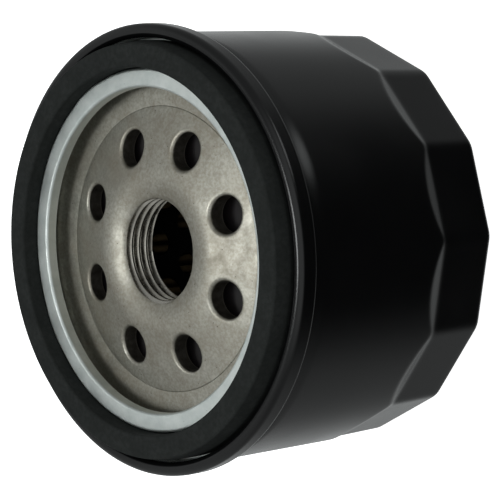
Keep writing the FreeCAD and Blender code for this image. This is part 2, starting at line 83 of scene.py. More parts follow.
LOG = logging.getLogger("oil_filter")

Point = tuple[float, float]
Corner = tuple[float, float, float]
Colour = tuple[float, float, float, float]


class Body(Enum):
    """The CAD bodies that new pieces ride on."""

    CASING = "casing"
    DRAIN_FLAP = "drain_flap"


class Slot(Enum):
    """The record's material slots that new pieces take their finish from."""

    CAN_PAINT = "black_can_paint"
    ZINC_LID = "zinc_lid"
    PLATE_STEEL = "bare_plate_steel"
    GASKET_RUBBER = "gasket_rubber"
    VALVE_RUBBER = "valve_rubber"
    PAPER = "filter_paper"
    SPRING = "spring_steel"


# ---- shaders ----------------------------------------------------------------------------------
def linear(colour: str) -> Colour:
    """Turns an sRGB hex colour into linear light.

    Args:
        colour: Six hex digits after a hash.

    Returns:
        Red, green, blue and an alpha of one.
    """
    parts = [int(colour[place:place + 2], 16) / 255 for place in (1, 3, 5)]
    light = [c / 12.92 if c <= 0.04045 else ((c + 0.055) / 1.055) ** 2.4 for c in parts]
    return light[0], light[1], light[2], 1.0


def add_node(tree: bpy.types.NodeTree, kind: str, settings: dict | None = None,
             links: dict | None = None) -> bpy.types.Node:
    """Adds a shader node with its settings and its incoming links.

    Args:
        tree: Node tree that gets the node.
        kind: The node's type, such as ShaderNodeTexNoise.
        settings: Values for the node's own properties, or for inputs by name or number.
        links: Output sockets to join, by the name or number of the input they go to.

    Returns:
        The new node.
    """
    node = tree.nodes.new(kind)
    for name, value in (settings or {}).items():
        if isinstance(name, str) and name in node.bl_rna.properties:
            setattr(node, name, value)
        else:
            node.inputs[name].default_value = value
    for name, socket in (links or {}).items():
        tree.links.new(socket, node.inputs[name])
    return node


@dataclass(frozen=True)
class Mottle:
    """Cloudy change of colour: the most it covers, and how soft its edges are."""

    colour: str
    size_mm: float
    share: float = 0.5
    contrast: float = 0.25


@dataclass(frozen=True)
class Specks:
    """Scattered dots of another colour, their radius a share of their spacing."""

    colour: str
    spacing_mm: float
    share: float
    radius: float


@dataclass(frozen=True)
class Grain:
    """Fine relief of a surface: the size of its grain, how deep it is and how it is stretched."""

    size_mm: float
    depth_mm: float
    stretch: tuple[float, float, float] = (1.0, 1.0, 1.0)


@dataclass(frozen=True)
class Finish:
    """One real material with the way its surface was made."""

    name: str
    colour: str
    roughness: float
    metallic: float = 0.0
    ior: float = 1.5
    specular: float = 0.5
    roughness_swing: float = 0.05
    swing_size_mm: float = 6.0
    mottles: tuple[Mottle, ...] = ()
    grains: tuple[Grain, ...] = ()
    specks: Specks | None = None

    def material(self) -> bpy.types.Material:
        """Builds the material once and gives the same one after that.

        Returns:
            The Blender material of this finish.
        """
        known = bpy.data.materials.get(self.name)
        if known is not None:
            return known
        made = bpy.data.materials.new(self.name)
        made.use_nodes = True
        tree = made.node_tree
        tree.nodes.clear()
        shader = add_node(tree, "ShaderNodeBsdfPrincipled", {"Metallic": self.metallic})
        if self.metallic < METAL_FROM:
            shader.inputs["IOR"].default_value = self.ior
            shader.inputs["Specular IOR Level"].default_value = self.specular
        add_node(tree, "ShaderNodeOutputMaterial", links={"Surface": shader.outputs["BSDF"]})
        place = self.millimetres(tree)
        self.paint(tree, shader, place)
        self.polish(tree, shader, place)
        self.texture(tree, shader, place)
        return made

    def millimetres(self, tree: bpy.types.NodeTree) -> bpy.types.NodeSocket:
        """Gives the surface point in the model's frame, in millimetres.

        Args:
            tree: The material's node tree.

        Returns:
            The socket that holds the point.
        """
        place = add_node(tree, "ShaderNodeTexCoord")
        scaled = add_node(tree, "ShaderNodeVectorMath", {"operation": "SCALE", "Scale": 1 / MM},
                          {"Vector": place.outputs["Object"]})
        return scaled.outputs["Vector"]

    def paint(self, tree: bpy.types.NodeTree, shader: bpy.types.Node,
              place: bpy.types.NodeSocket) -> None:
        """Mixes the base colour with its mottles and specks.

        Args:
            tree: The material's node tree.
            shader: The material's main shader.
            place: Surface point in millimetres.
        """
        base = add_node(tree, "ShaderNodeRGB")
        base.outputs[0].default_value = linear(self.colour)
        colour = base.outputs[0]
        for mottle in self.mottles:
            cloud = add_node(tree, "ShaderNodeTexNoise",
                             {"Scale": 1 / mottle.size_mm, "Detail": CLOUD_DETAIL,
                              "Roughness": CLOUD_ROUGHNESS},
                             {"Vector": place})
            low = 0.5 - mottle.contrast / 2
            colour = self.tint(tree, colour, mottle, cloud.outputs["Fac"],
                               (low, low + mottle.contrast))
        if self.specks is not None:
            dots = add_node(tree, "ShaderNodeTexVoronoi", {"Scale": 1 / self.specks.spacing_mm},
                            {"Vector": place})
            colour = self.tint(tree, colour, self.specks, dots.outputs["Distance"],
                               (self.specks.radius, self.specks.radius / 2))
        tree.links.new(colour, shader.inputs["Base Color"])

    def tint(self, tree: bpy.types.NodeTree, under: bpy.types.NodeSocket, layer: Mottle | Specks,
             pattern: bpy.types.NodeSocket, reach: Point) -> bpy.types.NodeSocket:
        """Lays the colour of a mottle or of specks over another colour.

        Args:
            tree: The material's node tree.
            under: Colour that lies below.
            layer: The mottle or the specks.
            pattern: Value that says where the layer's colour goes.
            reach: Values of the pattern where the colour is absent and where it is fullest.

        Returns:
            The mixed colour.
        """
        amount = add_node(tree, "ShaderNodeMapRange",
                          {"From Min": reach[0], "From Max": reach[1],
                           "To Min": 0.0, "To Max": layer.share},
                          {"Value": pattern})
        mixed = add_node(tree, "ShaderNodeMix", {"data_type": "RGBA", 7: linear(layer.colour)},
                         {0: amount.outputs["Result"], 6: under})
        return mixed.outputs[2]

    def polish(self, tree: bpy.types.NodeTree, shader: bpy.types.Node,
               place: bpy.types.NodeSocket) -> None:
        """Varies the roughness a little, as handling and oil do.

        Args:
            tree: The material's node tree.
            shader: The material's main shader.
            place: Surface point in millimetres.
        """
        cloud = add_node(tree, "ShaderNodeTexNoise",
                         {"Scale": 1 / self.swing_size_mm, "Detail": FINE_DETAIL},
                         {"Vector": place})
        swing = add_node(tree, "ShaderNodeMapRange",
                         {"From Min": SWING_RANGE[0], "From Max": SWING_RANGE[1],
                          "To Min": self.roughness - self.roughness_swing,
                          "To Max": self.roughness + self.roughness_swing},
                         {"Value": cloud.outputs["Fac"]})
        tree.links.new(swing.outputs["Result"], shader.inputs["Roughness"])

    def texture(self, tree: bpy.types.NodeTree, shader: bpy.types.Node,
                place: bpy.types.NodeSocket) -> None:
        """Adds the relief of each grain as bump.

        Args:
            tree: The material's node tree.
            shader: The material's main shader.
            place: Surface point in millimetres.
        """
        normal = None
        for grain in self.grains:
            stretched = add_node(tree, "ShaderNodeVectorMath",
                                 {"operation": "MULTIPLY", 1: grain.stretch}, {0: place})
            relief = add_node(tree, "ShaderNodeTexNoise",
                              {"Scale": 1 / grain.size_mm, "Detail": FINE_DETAIL},
                              {"Vector": stretched.outputs["Vector"]})
            bump = add_node(tree, "ShaderNodeBump", {"Distance": grain.depth_mm * MM},
                            {"Height": relief.outputs["Fac"]})
            if normal is not None:
                tree.links.new(normal, bump.inputs["Normal"])
            normal = bump.outputs["Normal"]
        if normal is not None:
            tree.links.new(normal, shader.inputs["Normal"])


# Baked enamel, sprayed over drawn steel: near black, a satin gloss that spreads each highlight, and
# a shallow orange peel that breaks up its edge. The peel is drawn a little coarser than its 0.6 mm.
BAKED_ENAMEL = Finish(
    "baked_enamel_sprayed", "#050506", 0.23, roughness_swing=0.03, swing_size_mm=14.0,
    mottles=(Mottle("#0a0a0b", 9.0, 0.6),),
    specks=Specks("#202021", 3.2, 0.35, 0.045),
    grains=(Grain(1.1, 0.0035), Grain(0.35, 0.0008)))

# Electroplated zinc over stamped steel: pale silver with a faint green cast, cloudy and soft, with
# the sheet's fine rolling grain just showing.
ZINC_PLATE = Finish(
    "zinc_plate_electroplated", "#e3e8e5", 0.50, metallic=1.0, roughness_swing=0.06,
    swing_size_mm=5.0,
    mottles=(Mottle("#c6cecb", 4.0, 0.6), Mottle("#e8ebe9", 1.4, 0.3)),
    specks=Specks("#7d837f", 2.2, 0.5, 0.05),
    grains=(Grain(0.30, 0.0035), Grain(2.6, 0.012)))

# Bare hot-rolled steel, pickled and oiled: warm grey-brown, blotched by the pickling, matte with a
# dull shine where the press tool has rubbed it.
PICKLED_STEEL = Finish(
    "pickled_steel_pressed", "#b9b6ab", 0.45, metallic=1.0, roughness_swing=0.07, swing_size_mm=3.0,
    mottles=(Mottle("#a19d91", 3.0, 0.6), Mottle("#cfcdc5", 0.8, 0.4, 0.3),
             Mottle("#7b7567", 0.5, 0.35, 0.2), Mottle("#8c8271", 12.0, 0.4)),
    specks=Specks("#3c362f", 1.5, 0.8, 0.085),
    grains=(Grain(0.22, 0.007), Grain(1.1, 0.005)))

# The same steel where the tap has cut it: brighter and smoother, scored along the cut.
TAPPED_STEEL = Finish(
    "pickled_steel_tapped", "#cfcbc2", 0.26, metallic=1.0, roughness_swing=0.08, swing_size_mm=2.0,
    mottles=(Mottle("#a8a296", 1.6, 0.5),),
    grains=(Grain(0.5, 0.002, (1.0, 1.0, 4.0)),))

# And where the punch has sheared it: rough torn walls, their darker colour painted shade for the
# shadow inside the holes.
PUNCHED_STEEL = Finish(
    "pickled_steel_punched", "#98948a", 0.42, metallic=1.0, roughness_swing=0.08, swing_size_mm=1.5,
    mottles=(Mottle("#6a655b", 1.2, 0.7),),
    grains=(Grain(0.4, 0.008, (1.0, 1.0, 0.3)),))

# Nitrile rubber, moulded and cut: black with a bloom of talc and a fine matte skin.
MOULDED_NITRILE = Finish(
    "nitrile_rubber_moulded", "#2e302f", 0.62, ior=1.52, specular=0.02, roughness_swing=0.06,
    swing_size_mm=7.0, mottles=(Mottle("#373938", 4.5, 0.6), Mottle("#272928", 0.9, 0.5, 0.15)),
    specks=Specks("#4a4c4c", 2.6, 0.35, 0.05),
    grains=(Grain(0.35, 0.006), Grain(2.4, 0.010)))

# Nitrile rubber of the valve, moulded thin: a shade redder and smoother, wet with assembly oil.
VALVE_NITRILE = Finish(
    "nitrile_rubber_valve", "#1b1719", 0.42, ior=1.52, roughness_swing=0.08, swing_size_mm=4.0,
    mottles=(Mottle("#241f22", 3.0, 0.6),),
    grains=(Grain(0.4, 0.004),))

# Tinplate, rolled and stamped: cool grey with a fine directional grain.
TINPLATE = Finish(
    "tinplate_rolled", "#b3b4b2", 0.34, metallic=1.0, swing_size_mm=4.0,
    mottles=(Mottle("#8f908d", 3.5, 0.5),),
    grains=(Grain(0.6, 0.0025, (1.0, 6.0, 1.0)),))

# Core tube of punched steel with a dull sheen, its near-black colour painted shade for the dark
# inside of the can.
CORE_STEEL = Finish(
    "black_oxide_steel_punched", "#2a2a2c", 0.45, metallic=1.0, swing_size_mm=4.0,
    mottles=(Mottle("#1b1b1d", 3.5, 0.5),), grains=(Grain(0.6, 0.0025),))

# Resin-treated cellulose paper, calendered and cured: brown, fibrous and dull.
FILTER_PAPER = Finish(
    "cellulose_paper_resin_treated", "#54452e", 0.88, specular=0.2, roughness_swing=0.04,
    mottles=(Mottle("#463822", 1.2, 0.6), Mottle("#635338", 0.5, 0.4)),
    grains=(Grain(0.25, 0.03), Grain(0.8, 0.04, (1.0, 1.0, 0.3))))

# Plastisol adhesive, poured and cured: a brick-red plastic with a rolling, slightly shiny surface.
PLASTISOL = Finish(
    "plastisol_poured", "#9c4a2c", 0.40, ior=1.48,
    mottles=(Mottle("#84391f", 3.0, 0.6),), grains=(Grain(2.5, 0.05),))

# Nylon, injection moulded: creamy white, a little waxy.
MOULDED_NYLON = Finish(
    "nylon_injection_moulded", "#e0d8c3", 0.38, ior=1.53,
    mottles=(Mottle("#d2c8b0", 2.5, 0.5),), grains=(Grain(0.3, 0.004),))

# Spring wire, oil tempered after coiling: blue-black steel with drawing marks.
SPRING_WIRE = Finish(
    "spring_steel_oil_tempered", "#6d6e72", 0.32, metallic=1.0,
    mottles=(Mottle("#4b4b52", 1.5, 0.6),), grains=(Grain(0.3, 0.003),))

# Seaming compound, flowed in and cured: dull cream rubber.
SEAM_COMPOUND = Finish(
    "seam_compound_flowed", "#a69d88", 0.70, mottles=(Mottle("#8f866f", 1.5, 0.5),),
    grains=(Grain(0.5, 0.02),))

# Projection weld: steel heated to a dark oxide.
WELD_STEEL = Finish(
    "steel_projection_welded", "#7a756e", 0.50, metallic=1.0,
    mottles=(Mottle("#3e4452", 0.9, 0.7),), grains=(Grain(0.3, 0.02),))


# ---- outlines ---------------------------------------------------------------------------------
def heading(start: Point, end: Point) -> Point:
    """Gives the direction from one point to another.

    Args:
        start: First point, (radius, z).
        end: Second point.

    Returns:
        A vector of length one.
    """
    length = math.hypot(end[0] - start[0], end[1] - start[1])
    return (end[0] - start[0]) / length, (end[1] - start[1]) / length


def rounded(corners: Sequence[Corner], closed: bool = True,
            step: float = ARC_STEP) -> list[Point]:
    """Draws an outline whose corners are tangent arcs.

    Args:
        corners: Each corner as radius, z and rounding.
        closed: Whether the last corner joins the first.
        step: Largest turn between two points of an arc, in degrees.

    Returns:
        The outline's points.
    """
    points: list[Point] = []
    count = len(corners)
    for index, (x, z, rounding) in enumerate(corners):
        is_end = not closed and index in (0, count - 1)
        if is_end or rounding <= 0:
            points.append((x, z))
            continue
        before = heading(corners[index - 1][:2], (x, z))
        after = heading((x, z), corners[(index + 1) % count][:2])
        cross = before[0] * after[1] - before[1] * after[0]
        turn = math.atan2(cross, before[0] * after[0] + before[1] * after[1])
        back = rounding * math.tan(abs(turn) / 2)
        side = math.copysign(1.0, turn)
        start = (x - before[0] * back, z - before[1] * back)
        centre = (start[0] - before[1] * rounding * side, start[1] + before[0] * rounding * side)
        steps = max(2, math.ceil(math.degrees(abs(turn)) / step))
        for part in range(steps + 1):
            angle = turn * part / steps
            dx, dz = start[0] - centre[0], start[1] - centre[1]
            points.append((centre[0] + dx * math.cos(angle) - dz * math.sin(angle),
                           centre[1] + dx * math.sin(angle) + dz * math.cos(angle)))
    return braced(points, closed)


def braced(points: Sequence[Point], closed: bool) -> list[Point]:
    """Adds a point close to each end of every long straight, which keeps its shading flat.

    Args:
        points: The outline's points.
        closed: Whether the last point joins the first.

    Returns:
        The points with those added.
    """
    result: list[Point] = []
    for index, here in enumerate(points):
        result.append(here)
        if index + 1 == len(points) and not closed:
            break
        there = points[(index + 1) % len(points)]
        if math.dist(here, there) > LONG_STRAIGHT:
            along = heading(here, there)
            result.append((here[0] + along[0] * BRACE, here[1] + along[1] * BRACE))
            result.append((there[0] - along[0] * BRACE, there[1] - along[1] * BRACE))
    return result


def sheet_sides(path: Sequence[Corner], thickness: float) -> tuple[list[Point], list[Point]]:
    """Gives both faces of a bent sheet from the line along its middle.

    Args:
        path: Each bend as radius, z and bend radius on the sheet's middle.
        thickness: The sheet's thickness.

    Returns:
        The face to the left of the path and the face to its right.
    """
    half = thickness / 2
    sides = []
    for side in (1, -1):
        line: list[Corner] = []
        for index, (x, z, bend) in enumerate(path):
            before = heading(path[index - 1][:2], (x, z)) if index else None
            after = heading((x, z), path[index + 1][:2]) if index + 1 < len(path) else None
            first, second = before or after, after or before
            scale = side * half / (1 + first[0] * second[0] + first[1] * second[1])
            cross = first[0] * second[1] - first[1] * second[0]
            rounding = bend - side * half * math.copysign(1, cross) if bend and cross else 0.0
            line.append((x - (first[1] + second[1]) * scale, z + (first[0] + second[0]) * scale,
                         max(rounding, 0.0)))
        sides.append(rounded(line, closed=False))
    return sides[0], sides[1]


def spread(start: float, end: float, count: int) -> list[float]:
    """Gives evenly spaced values after start, up to and including end."""
    return [start + (end - start) * (index + 1) / count for index in range(count)]


def soft_min(a: float, b: float, blend: float) -> float:
    """Gives the smaller of two values, rounded where they are within blend of each other."""
    near = max(blend - abs(a - b), 0.0) / blend
    return min(a, b) - near * near * blend / 4


# ---- meshes -----------------------------------------------------------------------------------
def make_piece(name: str, columns: Sequence[Sequence[Vector]], loop: bool,
               sharp_degrees: float, wrap: bool = True) -> bpy.types.Object:
    """Skins a grid of points into one closed, smooth-shaded mesh.

    Args:
        name: The piece's name.
        columns: Columns of points in millimetres, all of one length.
        loop: Whether each column's last point joins its first.
        sharp_degrees: Edges that turn more than this stay sharp.
        wrap: Whether the last column joins the first.

    Returns:
        The new object, in metres.
    """
    mesh = bpy.data.meshes.new(name)
    rows = len(columns[0])
    points = [point * MM for column in columns for point in column]
    faces = []
    for place in range(len(columns) if wrap else len(columns) - 1):
        here = place * rows
        there = (place + 1) % len(columns) * rows
        for row in range(rows if loop else rows - 1):
            up = (row + 1) % rows
            faces.append((here + row, there + row, there + up, here + up))
    mesh.from_pydata(points, [], faces)
    return finish_mesh(name, mesh, sharp_degrees)


def finish_mesh(name: str, mesh: bpy.types.Mesh, sharp_degrees: float,
                merge: float = MERGE) -> bpy.types.Object:
    """Cleans a mesh, turns its faces outward, shades it and puts it in the scene.

    Args:
        name: The piece's name.
        mesh: The mesh, in metres.
        sharp_degrees: Edges that turn more than this stay sharp.
        merge: Points closer than this, in millimetres, become one.

    Returns:
        The new object.
    """
    work = bmesh.new()
    work.from_mesh(mesh)
    bmesh.ops.remove_doubles(work, verts=work.verts, dist=merge * MM)
    bmesh.ops.dissolve_degenerate(work, edges=work.edges, dist=merge * MM)
    bmesh.ops.recalc_face_normals(work, faces=work.faces)
    work.to_mesh(mesh)
    work.free()
    mesh.shade_smooth()
    mesh.set_sharp_from_angle(angle=math.radians(sharp_degrees))
    piece = bpy.data.objects.new(name, mesh)
    bpy.context.scene.collection.objects.link(piece)
    return piece


def add_strip(work: bmesh.types.BMesh, grid: Sequence[Sequence[bmesh.types.BMVert]]) -> None:
    """Joins neighbouring columns of vertices with faces.

    Args:
        work: The mesh that gets the faces.
        grid: Columns of vertices, all of one length.
    """
    for here, there in zip(grid, grid[1:]):
        for row in range(len(here) - 1):
            work.faces.new((here[row], there[row], there[row + 1], here[row + 1]))


def lathe(name: str, outline: Sequence[Point], segments: int) -> bpy.types.Object:
    """Turns a closed outline round the filter's axis.

    Args:
        name: The piece's name.
        outline: Closed outline of (radius, z) points.
        segments: Steps round the axis.

    Returns:
        The new object.
    """
    columns = []
    for index in range(segments):
        angle = math.tau * index / segments
        columns.append([polar(radius, angle, z) for radius, z in outline])
    return make_piece(name, columns, True, LATHE_SHARP)


def polar(radius: float, angle: float, z: float) -> Vector:
    """Gives the point at a radius and an angle round the filter's axis."""
    return Vector((radius * math.cos(angle), radius * math.sin(angle), z))


def dress(piece: bpy.types.Object, *finishes: Finish) -> None:
    """Gives a piece its finishes. All its faces start with the first.

    Args:
        piece: The piece.
        finishes: Its finishes.
    """
    piece.data.materials.clear()
    for finish in finishes:
        piece.data.materials.append(finish.material())


def refinish(piece: bpy.types.Object, finish: Finish, wanted: Callable[[Vector], bool]) -> None:
    """Gives some of a piece's faces another of its finishes.

    Args:
        piece: The piece, dressed.
        finish: One of the finishes it was dressed in.
        wanted: Says from a face's centre, in millimetres, whether it gets the finish.
    """
    number = piece.data.materials.find(finish.name)
    for face in piece.data.polygons:
        if wanted(face.center / MM):
            face.material_index = number


@dataclass(frozen=True)
class Extent:
    """How far a CAD node reaches, in millimetres."""

    radius: float
    low: float
    high: float

    @classmethod
    def of(cls, node: str) -> "Extent":
        """Measures a CAD node in the frame.

        Args:
            node: The node's name.

        Returns:
            Its largest radius along X and its lowest and highest z.
        """
        low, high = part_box(node)
        return cls(high.x / MM, low.z / MM, high.z / MM)


def settle(piece: bpy.types.Object, body: Body, node: str) -> bpy.types.Object:
    """Lets a new piece stand for a CAD node, on that node's body.

    Args:
        piece: The new piece, in place.
        body: The CAD body it rides on.
        node: The CAD node it stands for.

    Returns:
        The same piece.
    """
    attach(piece, body.value)
    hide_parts(node)
    return piece


# ---- casing -----------------------------------------------------------------------------------
# Where the can's columns get their points: distances from a bend, shares of a shoulder's height and
# the number of steps along each other stretch.
BEND_STEPS = (0.05, 0.11, 0.19, 0.3, 0.5, 0.85)
SHOULDER_SHARES = (0.03, 0.07, 0.12, 0.2, 0.35, 0.5, 0.65, 0.8, 0.88, 0.93, 0.97, 1.0)
RING_STEPS = 6
CORNER_STEPS = 9
FLAT_STEPS = 8
OVER_SHOULDER_STEPS = 4
WALL_STEPS = 8
NECK_STEPS = 12
THROAT_STEPS = 3


@dataclass
class FlutedCan:
    """Drawn can: a fluted closed end, a plain wall and an edge hooked over for the double seam."""

    sheet: float = 0.45
    sheet_gap: float = 0.03
    flute_count: int = 14
    flute_height: float = 12.2
    ridge_depth: float = 0.25         # plain wall to the ridges between the flats
    draft: float = 0.23               # a ridge's lower end, inward of its upper one
    shoulder_angle: float = 19.0      # above the flats, from the axis
    corner_radius: float = 1.6
    ridge_blend: float = 0.46         # how softly ridges and shoulders are drawn
    shoulder_blend: float = 0.26
    neck_depth: float = 0.3           # the wall draws in this far below the seam
    neck_length: float = 3.1
    seam_height: float = 4.0
    hook_length: float = 1.9
    panel_radius: float = 20.0
    panel_recess: float = 1.0
    panel_slope: float = 1.6
    panel_bend: float = 0.85
    panel_margin: float = 3.0         # panel's step to where the ring's points begin
    flat_margin: float = 1.4          # a flat's upper edge to where points gather
    shoulder_reach: float = 7.0       # height above the flats that holds every shoulder
    columns_per_half_flute: int = 13
    ridge_gathering: float = 1.7      # power that draws the columns towards a ridge
    extent: Extent = field(default_factory=lambda: Extent.of("canister"))

    @property
    def layer(self) -> float:
        """Distance between the middles of two neighbouring layers of the seam."""
        return self.sheet + self.sheet_gap

    @property
    def wall_radius(self) -> float:
        """Outside of the plain wall, two layers inside the hook's edge."""
        return self.extent.radius - 2 * self.layer

    @property
    def half_pitch(self) -> float:
        """Angle from a ridge to the middle of a flat."""
        return math.pi / self.flute_count

    @property
    def flat_radius(self) -> float:
        """Axis to the top edge of a flat, at its middle."""
        return (self.wall_radius - self.ridge_depth) * math.cos(self.half_pitch)

    @property
    def neck_start(self) -> float:
        """Height where the wall begins to draw in below the seam."""
        return self.extent.high - self.seam_height - self.neck_length

    def shoulder_top(self, offset: float) -> float:
        """Gives the height where the shoulder meets the plain wall.

        Args:
            offset: Angle from the middle of the flat.

        Returns:
            The height in millimetres.
        """
        lean = math.tan(math.radians(self.shoulder_angle))
        return self.flute_height + (self.wall_radius * math.cos(offset) - self.flat_radius) / lean

    def skin_radius(self, offset: float, z: float) -> float:
        """Gives the can's outside, with its ridges and shoulders rounded as drawing leaves them.

        Args:
            offset: Angle from the middle of the flat.
            z: Height above the closed end.

        Returns:
            The radius in millimetres.
        """
        lean = math.tan(math.radians(self.shoulder_angle))
        base = self.flat_radius - self.draft * math.cos(self.half_pitch)
        flat = base + (self.flat_radius - base) * z / self.flute_height
        shoulder = self.flat_radius + (z - self.flute_height) * lean
        plane = -soft_min(-flat, -shoulder, self.shoulder_blend)
        here = plane / math.cos(offset)
        beyond = plane / math.cos(2 * self.half_pitch - abs(offset))
        ridged = soft_min(here, beyond, self.ridge_blend)
        fluted = soft_min(ridged, self.wall_radius, self.shoulder_blend)
        share = min(max((z - self.neck_start) / self.neck_length, 0.0), 1.0)
        return fluted - self.neck_depth * share * share * (3 - 2 * share)

    def chain(self, offset: float) -> list[Point]:
        """Gives the can's section at one angle, up its outside, over the hook and down its inside.

        Args:
            offset: Angle from the middle of the flat.

        Returns:
            The section's points.
        """
        outside = self.end_points(offset, 0.0) + self.wall_points(offset, 0.0)
        inside = self.end_points(offset, self.sheet) + self.wall_points(offset, self.sheet)
        hook_left, hook_right = self.hook_sides()
        return outside + hook_right + hook_left[::-1] + inside[::-1]

    def end_points(self, offset: float, inset: float) -> list[Point]:
        """Gives one face of the closed end: recessed panel, step, resting ring and outer corner.

        Args:
            offset: Angle from the middle of the flat.
            inset: Nothing for the outside, or the sheet's thickness for the inside.

        Returns:
            The points, from the axis outward.
        """
        step_end = self.panel_radius + self.panel_slope
        ring_start = step_end + self.panel_margin
        panel_z = self.panel_recess + inset
        middle = rounded([
            (0.0, panel_z, 0.0),
            (self.panel_radius / 3, panel_z, 0.0),
            (self.panel_radius * 2 / 3, panel_z, 0.0),
            (self.panel_radius, panel_z, self.panel_bend),
            (step_end, inset, self.panel_bend),
            (ring_start, inset, 0.0),
        ], closed=False)
        rounding = self.corner_radius - inset
        edge = self.skin_radius(offset, self.corner_radius) - self.corner_radius
        ring = [(radius, inset) for radius in spread(ring_start, edge, RING_STEPS)]
        corner = []
        for angle in spread(0.0, math.pi / 2, CORNER_STEPS):
            corner.append((edge + rounding * math.sin(angle),
                           self.corner_radius - rounding * math.cos(angle)))
        return middle + ring + corner

    def wall_points(self, offset: float, inset: float) -> list[Point]:
        """Gives one face of the wall, its points gathered where flat, shoulder and plain wall meet.

        Args:
            offset: Angle from the middle of the flat.
            inset: Nothing for the outside, or the sheet's thickness for the inside.

        Returns:
            The points, from the outer corner up to the seam.
        """
        bend = self.flute_height
        top = self.shoulder_top(offset)
        neck_end = self.neck_start + self.neck_length
        heights = spread(self.corner_radius, bend - self.flat_margin, FLAT_STEPS)
        heights += [bend - step for step in reversed(BEND_STEPS)] + [bend]
        heights += [bend + (top - bend) * share for share in SHOULDER_SHARES]
        heights += [top + step for step in BEND_STEPS]
        heights += spread(heights[-1], bend + self.shoulder_reach, OVER_SHOULDER_STEPS)
        heights += spread(heights[-1], self.neck_start, WALL_STEPS)
        heights += spread(self.neck_start, neck_end, NECK_STEPS)
        heights += spread(neck_end, self.hook_start, THROAT_STEPS)
        return [(self.skin_radius(offset, z) - inset, z) for z in heights]

    @property
    def hook_start(self) -> float:
        """Height where the wall begins to bend over into the hook."""
        return self.extent.high - self.sheet / 2 - self.layer

    def hook_sides(self) -> tuple[list[Point], list[Point]]:
        """Gives both faces of the hook at the can's open edge.

        Returns:
            The face to the left of the sheet's run and the face to its right.
        """
        middle = self.wall_radius - self.sheet / 2
        crown = self.extent.high - self.sheet / 2
        return sheet_sides([
            (middle, self.hook_start, 0.0),
            (middle, crown, self.layer),
            (middle + 2 * self.layer, crown, self.layer),
            (middle + 2 * self.layer, crown - self.layer - self.hook_length, 0.0),
        ], self.sheet)

    def build(self) -> bpy.types.Object:
        """Makes the can, dressed and on its body.

        Returns:
            The can.
        """
        columns = []
        half = self.columns_per_half_flute
        for flute in range(self.flute_count):
            for step in range(-half, half):
                gathered = 1 - (1 - abs(step) / half) ** self.ridge_gathering
                offset = math.copysign(self.half_pitch * gathered, step)
                angle = (2 * flute + 1) * self.half_pitch + offset
                columns.append([polar(r, angle, z) for r, z in self.chain(offset)])
        piece = make_piece("fluted_can", columns, False, SHEET_SHARP)
        dress(piece, BAKED_ENAMEL)
        return settle(piece, Body.CASING, "canister")


